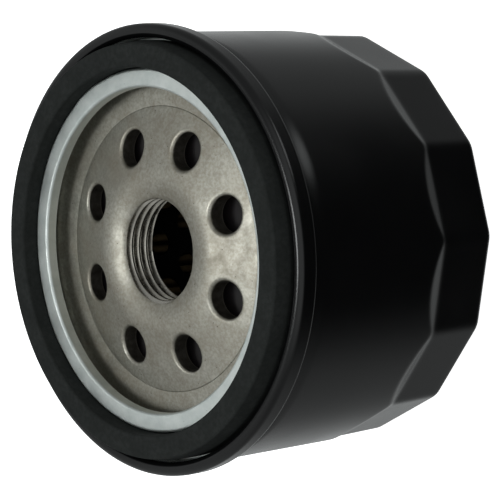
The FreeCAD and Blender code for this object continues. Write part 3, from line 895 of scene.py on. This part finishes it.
@dataclass
class SeamingLid:
    """Stamped ring: a lip that holds the gasket, a groove and the double seam's outer layers."""

    sheet: float = 0.45
    sheet_gap: float = 0.03
    lip_width: float = 3.15
    lip_skirt: float = 2.0            # lip's inner wall, downward
    lip_bend: float = 0.27
    floor_bend: float = 0.6
    inner_crest_bend: float = 0.8
    outer_crest_bend: float = 0.95
    seam_height: float = 4.0
    valley_depth: float = 0.24        # hollow between the seam's two crests
    valley_share: float = 0.45        # its place, from the groove to the seam's edge
    valley_bend: float = 0.5
    tuck_length: float = 2.1          # end of the sheet, up inside the can's hook
    groove_outer: float = 35.995
    lip_outer: float = 30.67
    lip_drop_from_seam: float = 0.5
    stake_angles: tuple[float, ...] = (28.0, 118.0, 208.0, 298.0)
    stake_width: float = 7.0          # degrees to each side of a stake's middle
    stake_depth: float = 1.4          # how far in and down the lip is pressed
    stake_reach: float = 0.18         # how far out
    enamel_overspray: float = 0.3     # enamel's edge, inward of the groove's outer wall
    segments: int = 320
    extent: Extent = field(default_factory=lambda: Extent.of("seaming_lid"))

    @property
    def lip_top(self) -> float:
        """Height of the lip's upper face."""
        return self.extent.high - self.lip_drop_from_seam

    def path(self) -> list[Corner]:
        """Gives the line along the sheet's middle, from the lip's skirt to the seam's inner end.

        Returns:
            Each bend as radius, z and bend radius.
        """
        half = self.sheet / 2
        layer = self.sheet + self.sheet_gap
        lip_z = self.lip_top - half
        inner = self.lip_outer - self.lip_width + half
        outer = self.lip_outer - half
        floor = self.extent.low + half
        roof = self.extent.high - half
        hem = self.extent.high - self.seam_height + half
        edge = self.extent.radius - half
        valley = self.groove_outer * (1 - self.valley_share) + edge * self.valley_share
        return [
            (inner, self.lip_top - self.lip_skirt, 0.0),
            (inner, lip_z, self.lip_bend),
            (outer, lip_z, self.lip_bend),
            (outer, floor, self.floor_bend),
            (self.groove_outer, floor, self.floor_bend),
            (self.groove_outer, roof, self.inner_crest_bend),
            (valley, roof - self.valley_depth, self.valley_bend),
            (edge, roof, self.outer_crest_bend),
            (edge, hem, layer),
            (edge - 2 * layer, hem, layer),
            (edge - 2 * layer, hem + self.tuck_length, 0.0),
        ]

    def is_staked(self, radius: float, z: float) -> bool:
        """Says whether a point of the section belongs to the lip's outer edge."""
        at_edge = -self.stake_depth < radius - self.lip_outer < NUDGE
        return at_edge and z > self.lip_top - self.stake_depth

    def is_enamelled(self, centre: Vector) -> bool:
        """Says whether a face at this centre belongs to the seam, which the can's enamel covers."""
        return math.hypot(centre.x, centre.y) > self.groove_outer - self.enamel_overspray

    def build(self) -> bpy.types.Object:
        """Makes the lid, its lip bare zinc and its seam under the can's enamel.

        Returns:
            The lid.
        """
        left, right = sheet_sides(self.path(), self.sheet)
        outline = left + right[::-1]
        columns = []
        for index in range(self.segments):
            angle = math.tau * index / self.segments
            push = self.stake(math.degrees(angle))
            column = []
            for radius, z in outline:
                pushed = radius + push if self.is_staked(radius, z) else radius
                column.append(polar(pushed, angle, z))
            columns.append(column)
        piece = make_piece("seaming_lid_stamped", columns, True, SHEET_SHARP)
        dress(piece, ZINC_PLATE, BAKED_ENAMEL)
        refinish(piece, BAKED_ENAMEL, self.is_enamelled)
        return settle(piece, Body.CASING, "seaming_lid")

    def stake(self, degrees: float) -> float:
        """Gives how far the lip's outer edge is pressed out over the gasket.

        Args:
            degrees: Angle round the axis.

        Returns:
            The extra radius in millimetres.
        """
        nearest = min(abs((degrees - at + 180) % 360 - 180) for at in self.stake_angles)
        return self.stake_reach * math.exp(-(nearest / self.stake_width) ** 4)


@dataclass
class Gasket:
    """Square-cut rubber ring with a leaning outer wall."""

    width: float = 4.45
    taper: float = 0.5                # outer wall's upper edge, inward of its lower part
    taper_height: float = 2.9
    taper_bend: float = 1.2
    edge: float = 0.45
    segments: int = 288
    extent: Extent = field(default_factory=lambda: Extent.of("sealing_gasket"))

    def build(self) -> bpy.types.Object:
        """Makes the gasket, dressed and on its body.

        Returns:
            The gasket.
        """
        outer = self.extent.radius
        inner = outer - self.width
        low, high = self.extent.low, self.extent.high
        outline = rounded([
            (inner, low, self.edge),
            (outer, low, self.edge),
            (outer, high - self.taper_height, self.taper_bend),
            (outer - self.taper, high, self.edge),
            (inner, high, self.edge),
        ])
        piece = lathe("sealing_gasket_ring", outline, self.segments)
        dress(piece, MOULDED_NITRILE)
        return settle(piece, Body.CASING, "sealing_gasket")


# ---- threaded plate ---------------------------------------------------------------------------
# Where the plate's sections get their points: shares of a thread's pitch, of the way from a
# sector's border to its hole, and of the way down the hole's wall.
THREAD_PHASES = (0.0, 0.055, 0.08, 0.12, 0.2, 0.28, 0.33, 0.37, 0.41, 0.5,
                 0.59, 0.63, 0.67, 0.72, 0.8, 0.88, 0.92, 0.945)
FACE_SHARES = (0.0, 0.18, 0.36, 0.54, 0.7, 0.84, 0.94, 1.0)
WALL_SHARES = (0.15, 0.4, 0.48, 0.7, 0.9, 1.0)
ROLL_STEPS = 5


@dataclass
class ThreadedPlate:
    """Pressed plate: a cone round a drawn and tapped hub, with a ring of punched inlet holes."""

    thickness: float = 3.0
    cone_angle: float = 12.2
    step_radius: float = 24.32
    step: float = 0.1                 # fine ledge between the cone and the flat rim
    step_edge: float = 0.04
    upper_edge: float = 0.6
    lower_edge: float = 0.3
    cone_root_rounding: float = 1.0
    crown_rounding: float = 8.0
    crown_arc_step: float = 2.5       # degrees between the points of the crown
    shoulder_width: float = 3.6       # thread's crest to the crown's corner
    mouth_dip: float = 0.75           # thread's mouth below that corner
    hub_crown: float = 0.4            # that corner above the hub's nominal length
    hub_wall: float = 2.9
    hub_length: float = 7.0
    hub_end_edge: float = 0.5
    hub_root_rounding: float = 1.0
    bore_chamfer: float = 0.35
    major_radius: float = 19.05 / 2
    pitch: float = 25.4 / 16
    flank_angle: float = 30.0
    root_rounding: float = 0.10
    crest_rounding: float = 0.12
    turns_shown: int = 7              # turns of thread that cover the bore
    inlet_count: int = 8
    inlet_radius: float = 3.15
    inlet_first_angle: float = 19.4
    inlet_margin: float = 0.75        # a hole's edge to its sector's border
    die_roll: float = 0.6             # rounding that the punch draws on the upper edge
    sheared_share: float = 0.4        # of the wall is cut clean, the rest is torn
    tear: float = 0.07
    burr: float = 0.05
    wall_slack: float = 0.03          # past a hole's edge, when its wall's faces are picked
    funnel_width: float = 1.0
    funnel_depth: float = 0.7
    columns_per_inlet: int = 32       # steps across each sector
    rows_per_inlet: int = 12          # steps along its sides
    merge: float = 2e-3
    extent: Extent = field(default_factory=lambda: Extent.of("threaded_plate"))

    @property
    def minor_radius(self) -> float:
        """Crest of the internal thread, 5/8 of the sharp thread's height inside its root."""
        return self.major_radius - 5 / 8 * math.sqrt(3) / 2 * self.pitch

    @property
    def mouth_z(self) -> float:
        """Height of the thread's mouth."""
        return self.crown_z - self.mouth_dip

    @property
    def crown_z(self) -> float:
        """Height of the crown's corner, before it is rounded."""
        return self.extent.low + self.hub_length + self.hub_crown

    @property
    def crown_radius(self) -> float:
        """Radius of the crown's corner."""
        return self.minor_radius + self.shoulder_width

    @property
    def slope(self) -> float:
        """Rise of the cone for each millimetre towards the axis."""
        return math.tan(math.radians(self.cone_angle))

    @property
    def top_z(self) -> float:
        """Height of the plate's flat edge."""
        return self.crown_z - self.step - (self.step_radius - self.crown_radius) * self.slope

    @property
    def inlet_circle(self) -> float:
        """Radius of the circle that the inlet holes stand on."""
        return (self.crown_radius + self.step_radius) / 2

    @property
    def sector(self) -> float:
        """Angle that each inlet hole has to itself."""
        return math.tau / self.inlet_count

    @property
    def first_inlet(self) -> float:
        """Angle of the first inlet hole, in radians."""
        return math.radians(self.inlet_first_angle)

    @property
    def inner_border(self) -> float:
        """Radius where the hub's section ends and the inlet sectors begin."""
        return self.inlet_circle - self.inlet_radius - self.inlet_margin

    @property
    def outer_border(self) -> float:
        """Radius where the inlet sectors end and the rim's section begins."""
        return self.inlet_circle + self.inlet_radius + self.inlet_margin

    def cone_z(self, radius: float) -> float:
        """Gives the height of the cone's upper face."""
        return self.crown_z - (radius - self.crown_radius) * self.slope

    def thread_radius(self, phase: float) -> float:
        """Gives the thread's surface at one phase of its pitch.

        Args:
            phase: Share of a pitch above the middle of a groove's root, from 0 to 1.

        Returns:
            The radius in millimetres.
        """
        along = abs((phase + 0.5) % 1 - 0.5) * self.pitch
        rise = (along - self.pitch / 16) / math.tan(math.radians(self.flank_angle))
        flank = self.major_radius - rise
        if flank > self.minor_radius + self.crest_rounding:
            return soft_min(self.major_radius, flank, self.root_rounding)
        return -soft_min(-flank, -self.minor_radius, self.crest_rounding)

    def bore_radius(self, turn: float, z: float) -> float:
        """Gives the bore's surface: the thread, opened by the mouth's funnel and the lower chamfer.

        Args:
            turn: Angle from the first column, in radians.
            z: Height.

        Returns:
            The radius in millimetres.
        """
        above_end = z - self.extent.low
        phase = above_end / self.pitch - turn / math.tau
        opening = max(0.0, 1 - (self.mouth_z - z) / self.funnel_depth)
        funnel = self.minor_radius + self.funnel_width * opening ** 2
        cut = self.bore_chamfer * max(0.0, 1 - above_end / self.bore_chamfer)
        return max(self.thread_radius(phase), funnel, self.minor_radius + cut)

    def bore_points(self, turn: float) -> list[Point]:
        """Gives the bore's section at one angle, its points following the thread's helix.

        Args:
            turn: Angle from the first column, in radians.

        Returns:
            The points, from the mouth down to the hub's end.
        """
        points = []
        for thread in range(self.turns_shown, -2, -1):
            for phase in reversed(THREAD_PHASES):
                z = self.extent.low + (thread - 1 + phase + turn / math.tau) * self.pitch
                z = min(max(z, self.extent.low), self.mouth_z)
                points.append((self.bore_radius(turn, z), z))
        return points

    def crown_points(self) -> list[Point]:
        """Gives the crown's rounded section, from the cone in to the thread's mouth.

        Returns:
            The points between those two.
        """
        return rounded([
            (self.inner_border, self.cone_z(self.inner_border), 0.0),
            (self.crown_radius, self.crown_z, self.crown_rounding),
            (self.bore_radius(0.0, self.mouth_z), self.mouth_z, 0.0),
        ], closed=False, step=self.crown_arc_step)[1:-1]

    def hub_points(self) -> list[Point]:
        """Gives the section from the hub's end up its outside and out under the cone.

        Returns:
            The points between the bore and the inlet sectors.
        """
        hub = self.minor_radius + self.hub_wall
        return rounded([
            (self.minor_radius + self.bore_chamfer, self.extent.low, 0.0),
            (hub, self.extent.low, self.hub_end_edge),
            (hub, self.cone_z(hub) - self.thickness, self.hub_root_rounding),
            (self.inner_border, self.cone_z(self.inner_border) - self.thickness, 0.0),
        ], closed=False)[2:-1]

    def hub_section(self, turn: float) -> list[Point]:
        """Gives the section inside the inlet sectors: over the crown, down the bore and back out.

        Args:
            turn: Angle from the first column, in radians.

        Returns:
            The points, from the sectors' upper border to their lower one.
        """
        top = self.cone_z(self.inner_border)
        section = [(self.inner_border, top)] + self.crown_points() + self.bore_points(turn)
        return section + self.hub_points() + [(self.inner_border, top - self.thickness)]

    def rim_section(self) -> list[Point]:
        """Gives the section outside the inlet sectors: under the cone, round the edge and back in.

        Returns:
            The points, from the sectors' lower border to their upper one.
        """
        outer = self.outer_border
        top, under = self.cone_z(outer), self.top_z - self.thickness
        return [(outer, top - self.thickness)] + rounded([
            (outer, top - self.thickness, 0.0),
            (self.step_radius, under, self.cone_root_rounding),
            (self.extent.radius, under, self.lower_edge),
            (self.extent.radius, self.top_z, self.upper_edge),
            (self.step_radius, self.top_z, self.step_edge),
            (self.step_radius - self.step, self.top_z + self.step, self.step_edge),
            (outer, top, 0.0),
        ], closed=False)[1:-1] + [(outer, top)]

    def build(self) -> bpy.types.Object:
        """Makes the plate from a sector round each inlet hole, dressed and on its body.

        Returns:
            The plate.
        """
        work = bmesh.new()
        for index in range(self.inlet_count):
            self.add_inlet(work, self.first_inlet + index * self.sector)
        rim = self.rim_section()
        self.sweep(work, self.hub_section)
        self.sweep(work, lambda turn: rim)
        mesh = bpy.data.meshes.new("threaded_plate_pressed")
        work.to_mesh(mesh)
        work.free()
        piece = finish_mesh("threaded_plate_pressed", mesh, PLATE_SHARP, self.merge)
        dress(piece, PICKLED_STEEL, TAPPED_STEEL, PUNCHED_STEEL)
        refinish(piece, TAPPED_STEEL, self.is_tapped)
        # the inlet holes' walls take the darker punched steel: painted shade for the inside of the
        # holes
        refinish(piece, PUNCHED_STEEL, self.is_punched)
        return settle(piece, Body.CASING, "threaded_plate")

    def sweep(self, work: bmesh.types.BMesh, section: Callable[[float], list[Point]]) -> None:
        """Turns a section round the axis, its columns in line with those of the inlet sectors.

        Args:
            work: The mesh that gets the faces.
            section: Gives the section's points from the angle turned, in radians.
        """
        steps = self.inlet_count * self.columns_per_inlet
        grid = []
        for index in range(steps + 1):
            turn = math.tau * index / steps
            angle = self.first_inlet - self.sector / 2 + turn
            grid.append([work.verts.new(polar(r, angle, z) * MM) for r, z in section(turn)])
        add_strip(work, grid)

    def is_tapped(self, centre: Vector) -> bool:
        """Says whether a face at this centre belongs to the tapped thread."""
        inside = math.hypot(centre.x, centre.y) < self.major_radius + NUDGE
        return inside and self.extent.low + NUDGE < centre.z < self.mouth_z - self.funnel_depth

    def is_punched(self, centre: Vector) -> bool:
        """Says whether a face is on the wall of an inlet hole, which is painted darker as shade.

        Args:
            centre: The face's centre, in millimetres.

        Returns:
            Whether it is.
        """
        radius = math.hypot(centre.x, centre.y)
        turn = math.atan2(centre.y, centre.x) - self.first_inlet
        offset = (turn + self.sector / 2) % self.sector - self.sector / 2
        out = radius * math.cos(offset) - self.inlet_circle
        return math.hypot(out, radius * math.sin(offset)) < self.inlet_radius + self.wall_slack

    def border(self, centre: float) -> list[Point]:
        """Gives the border of one inlet hole's sector.

        Args:
            centre: Angle of the hole, in radians.

        Returns:
            Its points as radius and angle, in order round the sector.
        """
        across, along = self.columns_per_inlet, self.rows_per_inlet
        width = self.inner_border - self.outer_border
        turns = [self.sector * (0.5 - part / across) for part in range(across)]
        steps = [width * part / along for part in range(along)]
        points = [(self.outer_border, centre + turn) for turn in turns]
        points += [(self.outer_border + step, centre - self.sector / 2) for step in steps]
        points += [(self.inner_border, centre - turn) for turn in turns]
        points += [(self.inner_border - step, centre + self.sector / 2) for step in steps]
        return points

    def add_inlet(self, work: bmesh.types.BMesh, centre: float) -> None:
        """Adds the sector round one inlet hole: cone above, punched wall, cone below.

        Args:
            work: The mesh that gets the faces.
            centre: Angle of the hole, in radians.
        """
        hole = polar(self.inlet_circle, centre, 0.0)
        grid = []
        for radius, angle in self.border(centre):
            column = self.inlet_column(hole, polar(radius, angle, 0.0))
            grid.append([work.verts.new(point * MM) for point in column])
        add_strip(work, grid + grid[:1])

    def inlet_column(self, hole: Vector, edge: Vector) -> list[Vector]:
        """Gives the points from the sector's border, in over the hole's edge and back out below.

        Args:
            hole: Centre of the hole, at z = 0.
            edge: Point on the border, at z = 0.

        Returns:
            The points, top first.
        """
        away = (edge - hole).normalized()

        def sunk(spot: Vector, drop: float) -> Vector:
            """Gives the point that is this far below the cone's upper face."""
            return Vector((spot.x, spot.y, self.cone_z(spot.length) - drop))

        roll = self.die_roll
        rim = hole + away * (self.inlet_radius + roll)
        points = [sunk(edge.lerp(rim, share), 0.0) for share in FACE_SHARES]
        for part in spread(0.0, math.pi / 2, ROLL_STEPS):
            spot = hole + away * (self.inlet_radius + roll * (1 - math.sin(part)))
            points.append(sunk(spot, roll * (1 - math.cos(part))))
        for share in WALL_SHARES:
            torn = self.tear * max(0.0, share - self.sheared_share)
            spot = hole + away * (self.inlet_radius + torn)
            points.append(sunk(spot, roll + (self.thickness - roll) * share))
        foot = hole + away * (self.inlet_radius + self.burr)
        points += [sunk(edge.lerp(foot, share), self.thickness) for share in FACE_SHARES[::-1]]
        return points


# ---- rubber, spring and paper -----------------------------------------------------------------
@dataclass
class DrainFlap:
    """Anti-drain-back valve: a rubber collar round the hub and a flap behind the inlet holes."""

    thickness: float = 1.1
    collar_inner: float = 11.716
    bend: float = 0.9
    flap_drop: float = 0.44           # flap's edge below the valve's highest point
    collar_height: float = 2.55
    edge: float = 0.25
    segments: int = 192
    joint: str = "drain_flap_open"
    opening: float = 1.5
    extent: Extent = field(default_factory=lambda: Extent.of("anti_drain_back_valve"))

    def outline(self) -> list[Point]:
        """Gives the valve's section, its flap's edge chamfered.

        Returns:
            The closed outline.
        """
        half = self.thickness / 2
        collar = self.collar_inner + half
        outer = self.extent.radius
        flap_z = self.extent.high - half - self.flap_drop
        upper, under = sheet_sides([
            (collar, self.extent.low, 0.0),
            (collar, self.extent.low + self.collar_height, self.bend),
            (outer, flap_z, 0.0),
        ], self.thickness)
        limit = outer - self.edge
        upper_z = upper[-1][1]
        upper = [point for point in upper if point[0] <= limit]
        under = [point for point in under if point[0] <= limit]
        under_z = under[-1][1]
        tip = [(limit, upper_z), (outer, upper_z - self.edge), (outer, under_z + self.edge),
               (limit, under_z)]
        return upper + tip + under[::-1]

    def build(self) -> bpy.types.Object:
        """Makes the valve, dressed and on the drain flap's body.

        Returns:
            The valve.
        """
        piece = lathe("drain_flap_rubber", self.outline(), self.segments)
        dress(piece, VALVE_NITRILE)
        settle(piece, Body.DRAIN_FLAP, "anti_drain_back_valve")
        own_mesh(piece)
        return piece


@dataclass
class BypassSpring:
    """Coiled wire that holds the bypass poppet down, its end turns closed."""

    wire: float = 0.7
    coil_radius: float = 4.6
    turns: float = 6.0
    closed_pitch: float = 1.02        # of the wire, between the closed end turns
    tip_share: float = 0.02           # of the wire, at the closing of its cut ends
    steps_per_turn: int = 40
    wire_sides: int = 14
    lift: float = 2.5
    joint: str = "bypass_lift"
    extent: Extent = field(default_factory=lambda: Extent.of("bypass_spring"))

    def rise(self, turn: float) -> float:
        """Gives the height of the wire's middle, flat over the first and the last turn.

        Args:
            turn: Turns from the lower end.

        Returns:
            The height in millimetres.
        """
        low = self.extent.low + self.wire / 2
        high = self.extent.high - self.wire / 2
        closed = self.wire * self.closed_pitch
        working = max(0.0, min(1.0, (turn - 1) / (self.turns - 2)))
        ends = min(turn, 1.0) + max(0.0, turn - self.turns + 1)
        return low + ends * closed + working * (high - low - 2 * closed)

    def ring(self, turn: float, share: float) -> list[Vector]:
        """Gives the wire's section at one place along the coil.

        Args:
            turn: Turns from the lower end.
            share: Size of the section, as a share of the wire.

        Returns:
            The points round the wire.
        """
        reach = self.wire / 2 * share
        middle = self.rise(turn)
        points = []
        for side in range(self.wire_sides):
            swing = math.tau * side / self.wire_sides
            radius = self.coil_radius + reach * math.cos(swing)
            points.append(polar(radius, math.tau * turn, middle + reach * math.sin(swing)))
        return points

    def build(self) -> bpy.types.Object:
        """Makes the spring, dressed and on its body.

        Returns:
            The spring.
        """
        steps = int(self.turns * self.steps_per_turn)
        columns = [self.ring(0.0, 0.0), self.ring(0.0, self.tip_share)]
        columns += [self.ring(step / self.steps_per_turn, 1.0) for step in range(1, steps)]
        columns += [self.ring(self.turns, self.tip_share), self.ring(self.turns, 0.0)]
        piece = make_piece("bypass_spring_coil", columns, True, SHEET_SHARP, wrap=False)
        dress(piece, SPRING_WIRE)
        settle(piece, Body.CASING, "bypass_spring")
        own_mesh(piece)
        return piece


@dataclass
class PleatedPaper:
    """Filter paper folded into a star, with rounded folds."""

    thickness: float = 0.6
    pleat_count: int = 44
    fold_width: float = 0.7
    inner_radius: float = 13.46
    points_per_fold: int = 6
    rows: int = 10
    extent: Extent = field(default_factory=lambda: Extent.of("pleated_media"))

    def middle_line(self) -> list[Point]:
        """Gives the closed line along the paper's middle, in plan.

        Returns:
            The line's points as x and y.
        """
        inner = self.inner_radius + self.thickness / 2
        outer = self.extent.radius - self.thickness / 2
        bend = self.fold_width / 2
        line = []
        for pleat in range(self.pleat_count):
            for radius, turn, side in ((outer, 0.0, 1), (inner, 0.5, -1)):
                angle = math.tau * (pleat + turn) / self.pleat_count
                centre = radius - side * bend
                for step in range(self.points_per_fold + 1):
                    swing = math.pi * (step / self.points_per_fold - 0.5)
                    out = centre + side * bend * math.cos(swing)
                    over = bend * math.sin(swing)
                    line.append((out * math.cos(angle) - over * math.sin(angle),
                                 out * math.sin(angle) + over * math.cos(angle)))
        return line

    def build(self) -> bpy.types.Object:
        """Makes the pleats, dressed and on their body.

        Returns:
            The pleated paper.
        """
        line = self.middle_line()
        count = len(line)
        columns = []
        heights = [self.extent.low] + spread(self.extent.low, self.extent.high, self.rows)
        for index, (x, y) in enumerate(line):
            after, before = line[(index + 1) % count], line[index - 1]
            along = heading(before, after)
            normal = Vector((along[1], -along[0], 0.0)) * (self.thickness / 2)
            outside = [Vector((x, y, z)) + normal for z in heights]
            inside = [Vector((x, y, z)) - normal for z in heights[::-1]]
            columns.append(outside + inside)
        piece = make_piece("pleated_paper", columns, True, SHEET_SHARP)
        dress(piece, FILTER_PAPER)
        return settle(piece, Body.CASING, "pleated_media")


# ---- pieces kept from the model ---------------------------------------------------------------
CARRIED = {
    "seam_sealant": SEAM_COMPOUND,
    "weld_nuggets": WELD_STEEL,
    "upper_end_cap": TINPLATE,
    "upper_potting": PLASTISOL,
    "media_seam_clip": TINPLATE,
    # near black: painted shade for the inside of the can, seen down the bore
    "centre_tube": CORE_STEEL,
    "lower_potting": PLASTISOL,
    "lower_end_cap": TINPLATE,
    "bypass_cup": TINPLATE,
    "bypass_seal": VALVE_NITRILE,
    "bypass_poppet": MOULDED_NYLON,
    "bypass_cage": TINPLATE,
    "element_support_spring": SPRING_WIRE,
}


def dress_carried(nodes: dict[str, bpy.types.Object]) -> None:
    """Gives each CAD node that is kept as it is the finish of its real material.

    Args:
        nodes: The frame's nodes by name.
    """
    for name, finish in CARRIED.items():
        dress(nodes[name], finish)
        LOG.info("dressed %s as %s", name, finish.name)


# ---- studio -----------------------------------------------------------------------------------
@dataclass
class Viewpoint:
    """Camera that looks down at the open end and is rolled until the filter lies on its side."""

    azimuth: float = 95.02
    elevation: float = 41.93
    roll: float = -95.71
    distance: float = 374.66
    lens: float = 154.8
    sensor: float = 36.0
    clip_range: Point = (10.0, 20000.0)
    aim: tuple[float, float, float] = (1.886, -1.399, 25.0)

    def axes(self) -> tuple[Vector, Vector, Vector]:
        """Gives the camera's directions.

        Returns:
            Its right, its up and the direction back from what it looks at.
        """
        roll = math.radians(self.roll)
        back = self.bearing(0.0, self.elevation)
        level = (-back).cross(Vector((0, 0, 1))).normalized()
        over = level.cross(-back)
        right = level * math.cos(roll) + over * math.sin(roll)
        up = over * math.cos(roll) - level * math.sin(roll)
        return right, up, back

    def bearing(self, turn: float, height: float) -> Vector:
        """Gives a direction from its turn away from the camera's bearing and its height.

        Args:
            turn: Degrees round the filter's axis, against the clock.
            height: Degrees above the horizon.

        Returns:
            The direction in the model's frame.
        """
        toward = math.radians(self.azimuth - 90 + turn)
        lift = math.radians(height)
        return polar(math.cos(lift), toward, math.sin(lift))

    def build(self) -> None:
        """Makes the camera and gives it to the scene."""
        right, up, back = self.axes()
        data = bpy.data.cameras.new("camera")
        data.lens = self.lens
        data.sensor_width = self.sensor
        data.clip_start = self.clip_range[0] * MM
        data.clip_end = self.clip_range[1] * MM
        camera = bpy.data.objects.new("camera", data)
        bpy.context.scene.collection.objects.link(camera)
        spot = (Vector(self.aim) + back * self.distance) * MM
        turned = Matrix((right, up, back)).transposed().to_4x4()
        camera.matrix_world = Matrix.Translation(spot) @ turned
        bpy.context.scene.camera = camera


@dataclass(frozen=True)
class Panel:
    """Soft-edged round part of the light tent, brighter or darker than the rest.

    All angles are in degrees: the bearing round the filter's axis from the camera's own, the height
    above the horizon, and how far from its middle the panel begins and ends to fade.
    """

    bearing: float
    height: float
    inner: float
    outer: float
    light: float


@dataclass
class Studio:
    """Pale floor inside a light tent, whose panels are placed by what mirrors them."""

    tent_colour: str = "#f8fcfc"
    tent_light: float = 0.27
    panels: tuple[Panel, ...] = (
        Panel(204.0, 38.0, 29.0, 72.0, 0.43),       # the plate and the lip's flat
        Panel(0.0, 35.0, 25.0, 60.0, 0.70),         # the bore's threads and the lip's edges
        Panel(180.0, 78.0, 4.0, 11.0, 11.0),        # the crests of the seam
        Panel(180.0, -42.0, 15.0, 50.0, 0.60),      # the wall where it turns out of sight
        Panel(0.0, -90.0, 12.0, 32.0, 0.60),        # the shoulders above the flats
        Panel(0.0, -42.0, 26.0, 60.0, 0.02),        # the middle of the wall, kept black
        Panel(40.0, -20.0, 5.0, 16.0, 2.0),         # a spot on the neck below the seam
    )
    floor_colour: str = "#f4f4f4"
    floor_light: str = "#ffffff"
    floor_roughness: float = 0.9
    floor_glow: float = 1.0
    floor_size: float = 6000.0
    floor_drop: float = 0.05

    def build(self, view: Viewpoint) -> None:
        """Makes the floor and the light tent.

        Args:
            view: The camera whose bearing the panels are placed from.
        """
        self.build_floor()
        self.build_tent(view)
        bpy.context.scene.view_settings.view_transform = "Standard"

    def build_floor(self) -> None:
        """Makes the pale floor, which only the camera sees: the tent alone lights the filter."""
        half = self.floor_size / 2 * MM
        mesh = bpy.data.meshes.new("floor")
        mesh.from_pydata([(-half, -half, 0), (half, -half, 0), (half, half, 0), (-half, half, 0)],
                         [], [(0, 1, 2, 3)])
        floor = bpy.data.objects.new("floor", mesh)
        bpy.context.scene.collection.objects.link(floor)
        floor.location.z = -self.floor_drop * MM
        floor.visible_glossy = False
        floor.visible_diffuse = False
        floor.visible_shadow = False
        paper = bpy.data.materials.new("studio_paper_matte")
        paper.use_nodes = True
        shader = paper.node_tree.nodes["Principled BSDF"]
        shader.inputs["Base Color"].default_value = linear(self.floor_colour)
        shader.inputs["Roughness"].default_value = self.floor_roughness
        shader.inputs["Emission Color"].default_value = linear(self.floor_light)
        shader.inputs["Emission Strength"].default_value = self.floor_glow
        mesh.materials.append(paper)

    def build_tent(self, view: Viewpoint) -> None:
        """Lights the filter from all round with the panels' brightness where they stand.

        Args:
            view: The camera whose bearing the panels are placed from.
        """
        world = bpy.data.worlds.new("light_tent")
        world.use_nodes = True
        tree = world.node_tree
        tree.nodes.clear()
        place = add_node(tree, "ShaderNodeTexCoord")
        level = add_node(tree, "ShaderNodeValue")
        level.outputs[0].default_value = self.tent_light
        light = level.outputs[0]
        for panel in self.panels:
            toward = view.bearing(panel.bearing, panel.height)
            facing = add_node(tree, "ShaderNodeVectorMath",
                              {"operation": "DOT_PRODUCT", 1: toward},
                              {0: place.outputs["Generated"]})
            share = add_node(tree, "ShaderNodeMapRange",
                             {"interpolation_type": "SMOOTHSTEP",
                              "From Min": math.cos(math.radians(panel.outer)),
                              "From Max": math.cos(math.radians(panel.inner))},
                             {"Value": facing.outputs["Value"]})
            mixed = add_node(tree, "ShaderNodeMix", {"data_type": "FLOAT", 3: panel.light},
                             {0: share.outputs["Result"], 2: light})
            light = mixed.outputs[0]
        background = add_node(tree, "ShaderNodeBackground", {"Color": linear(self.tent_colour)},
                              {"Strength": light})
        add_node(tree, "ShaderNodeOutputWorld", links={"Surface": background.outputs["Background"]})
        bpy.context.scene.world = world


def corners(box: tuple[Vector, Vector]) -> list[list[float]]:
    """Gives a box's two corners as plain lists."""
    return [list(corner) for corner in box]


def main() -> None:
    """Builds the filter's pieces round the CAD model, then the studio."""
    logging.basicConfig(level=logging.INFO, format="%(name)s: %(message)s")
    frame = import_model()
    makers = (FlutedCan(), SeamingLid(), Gasket(), ThreadedPlate(), DrainFlap(), BypassSpring(),
              PleatedPaper())
    for maker in makers:
        piece = maker.build()
        LOG.info("built %s with %d faces", piece.name, len(piece.data.polygons))
    dress_carried(frame["nodes"])
    view = Viewpoint()
    view.build()
    Studio().build(view)


if __name__ == "__main__":
    main()
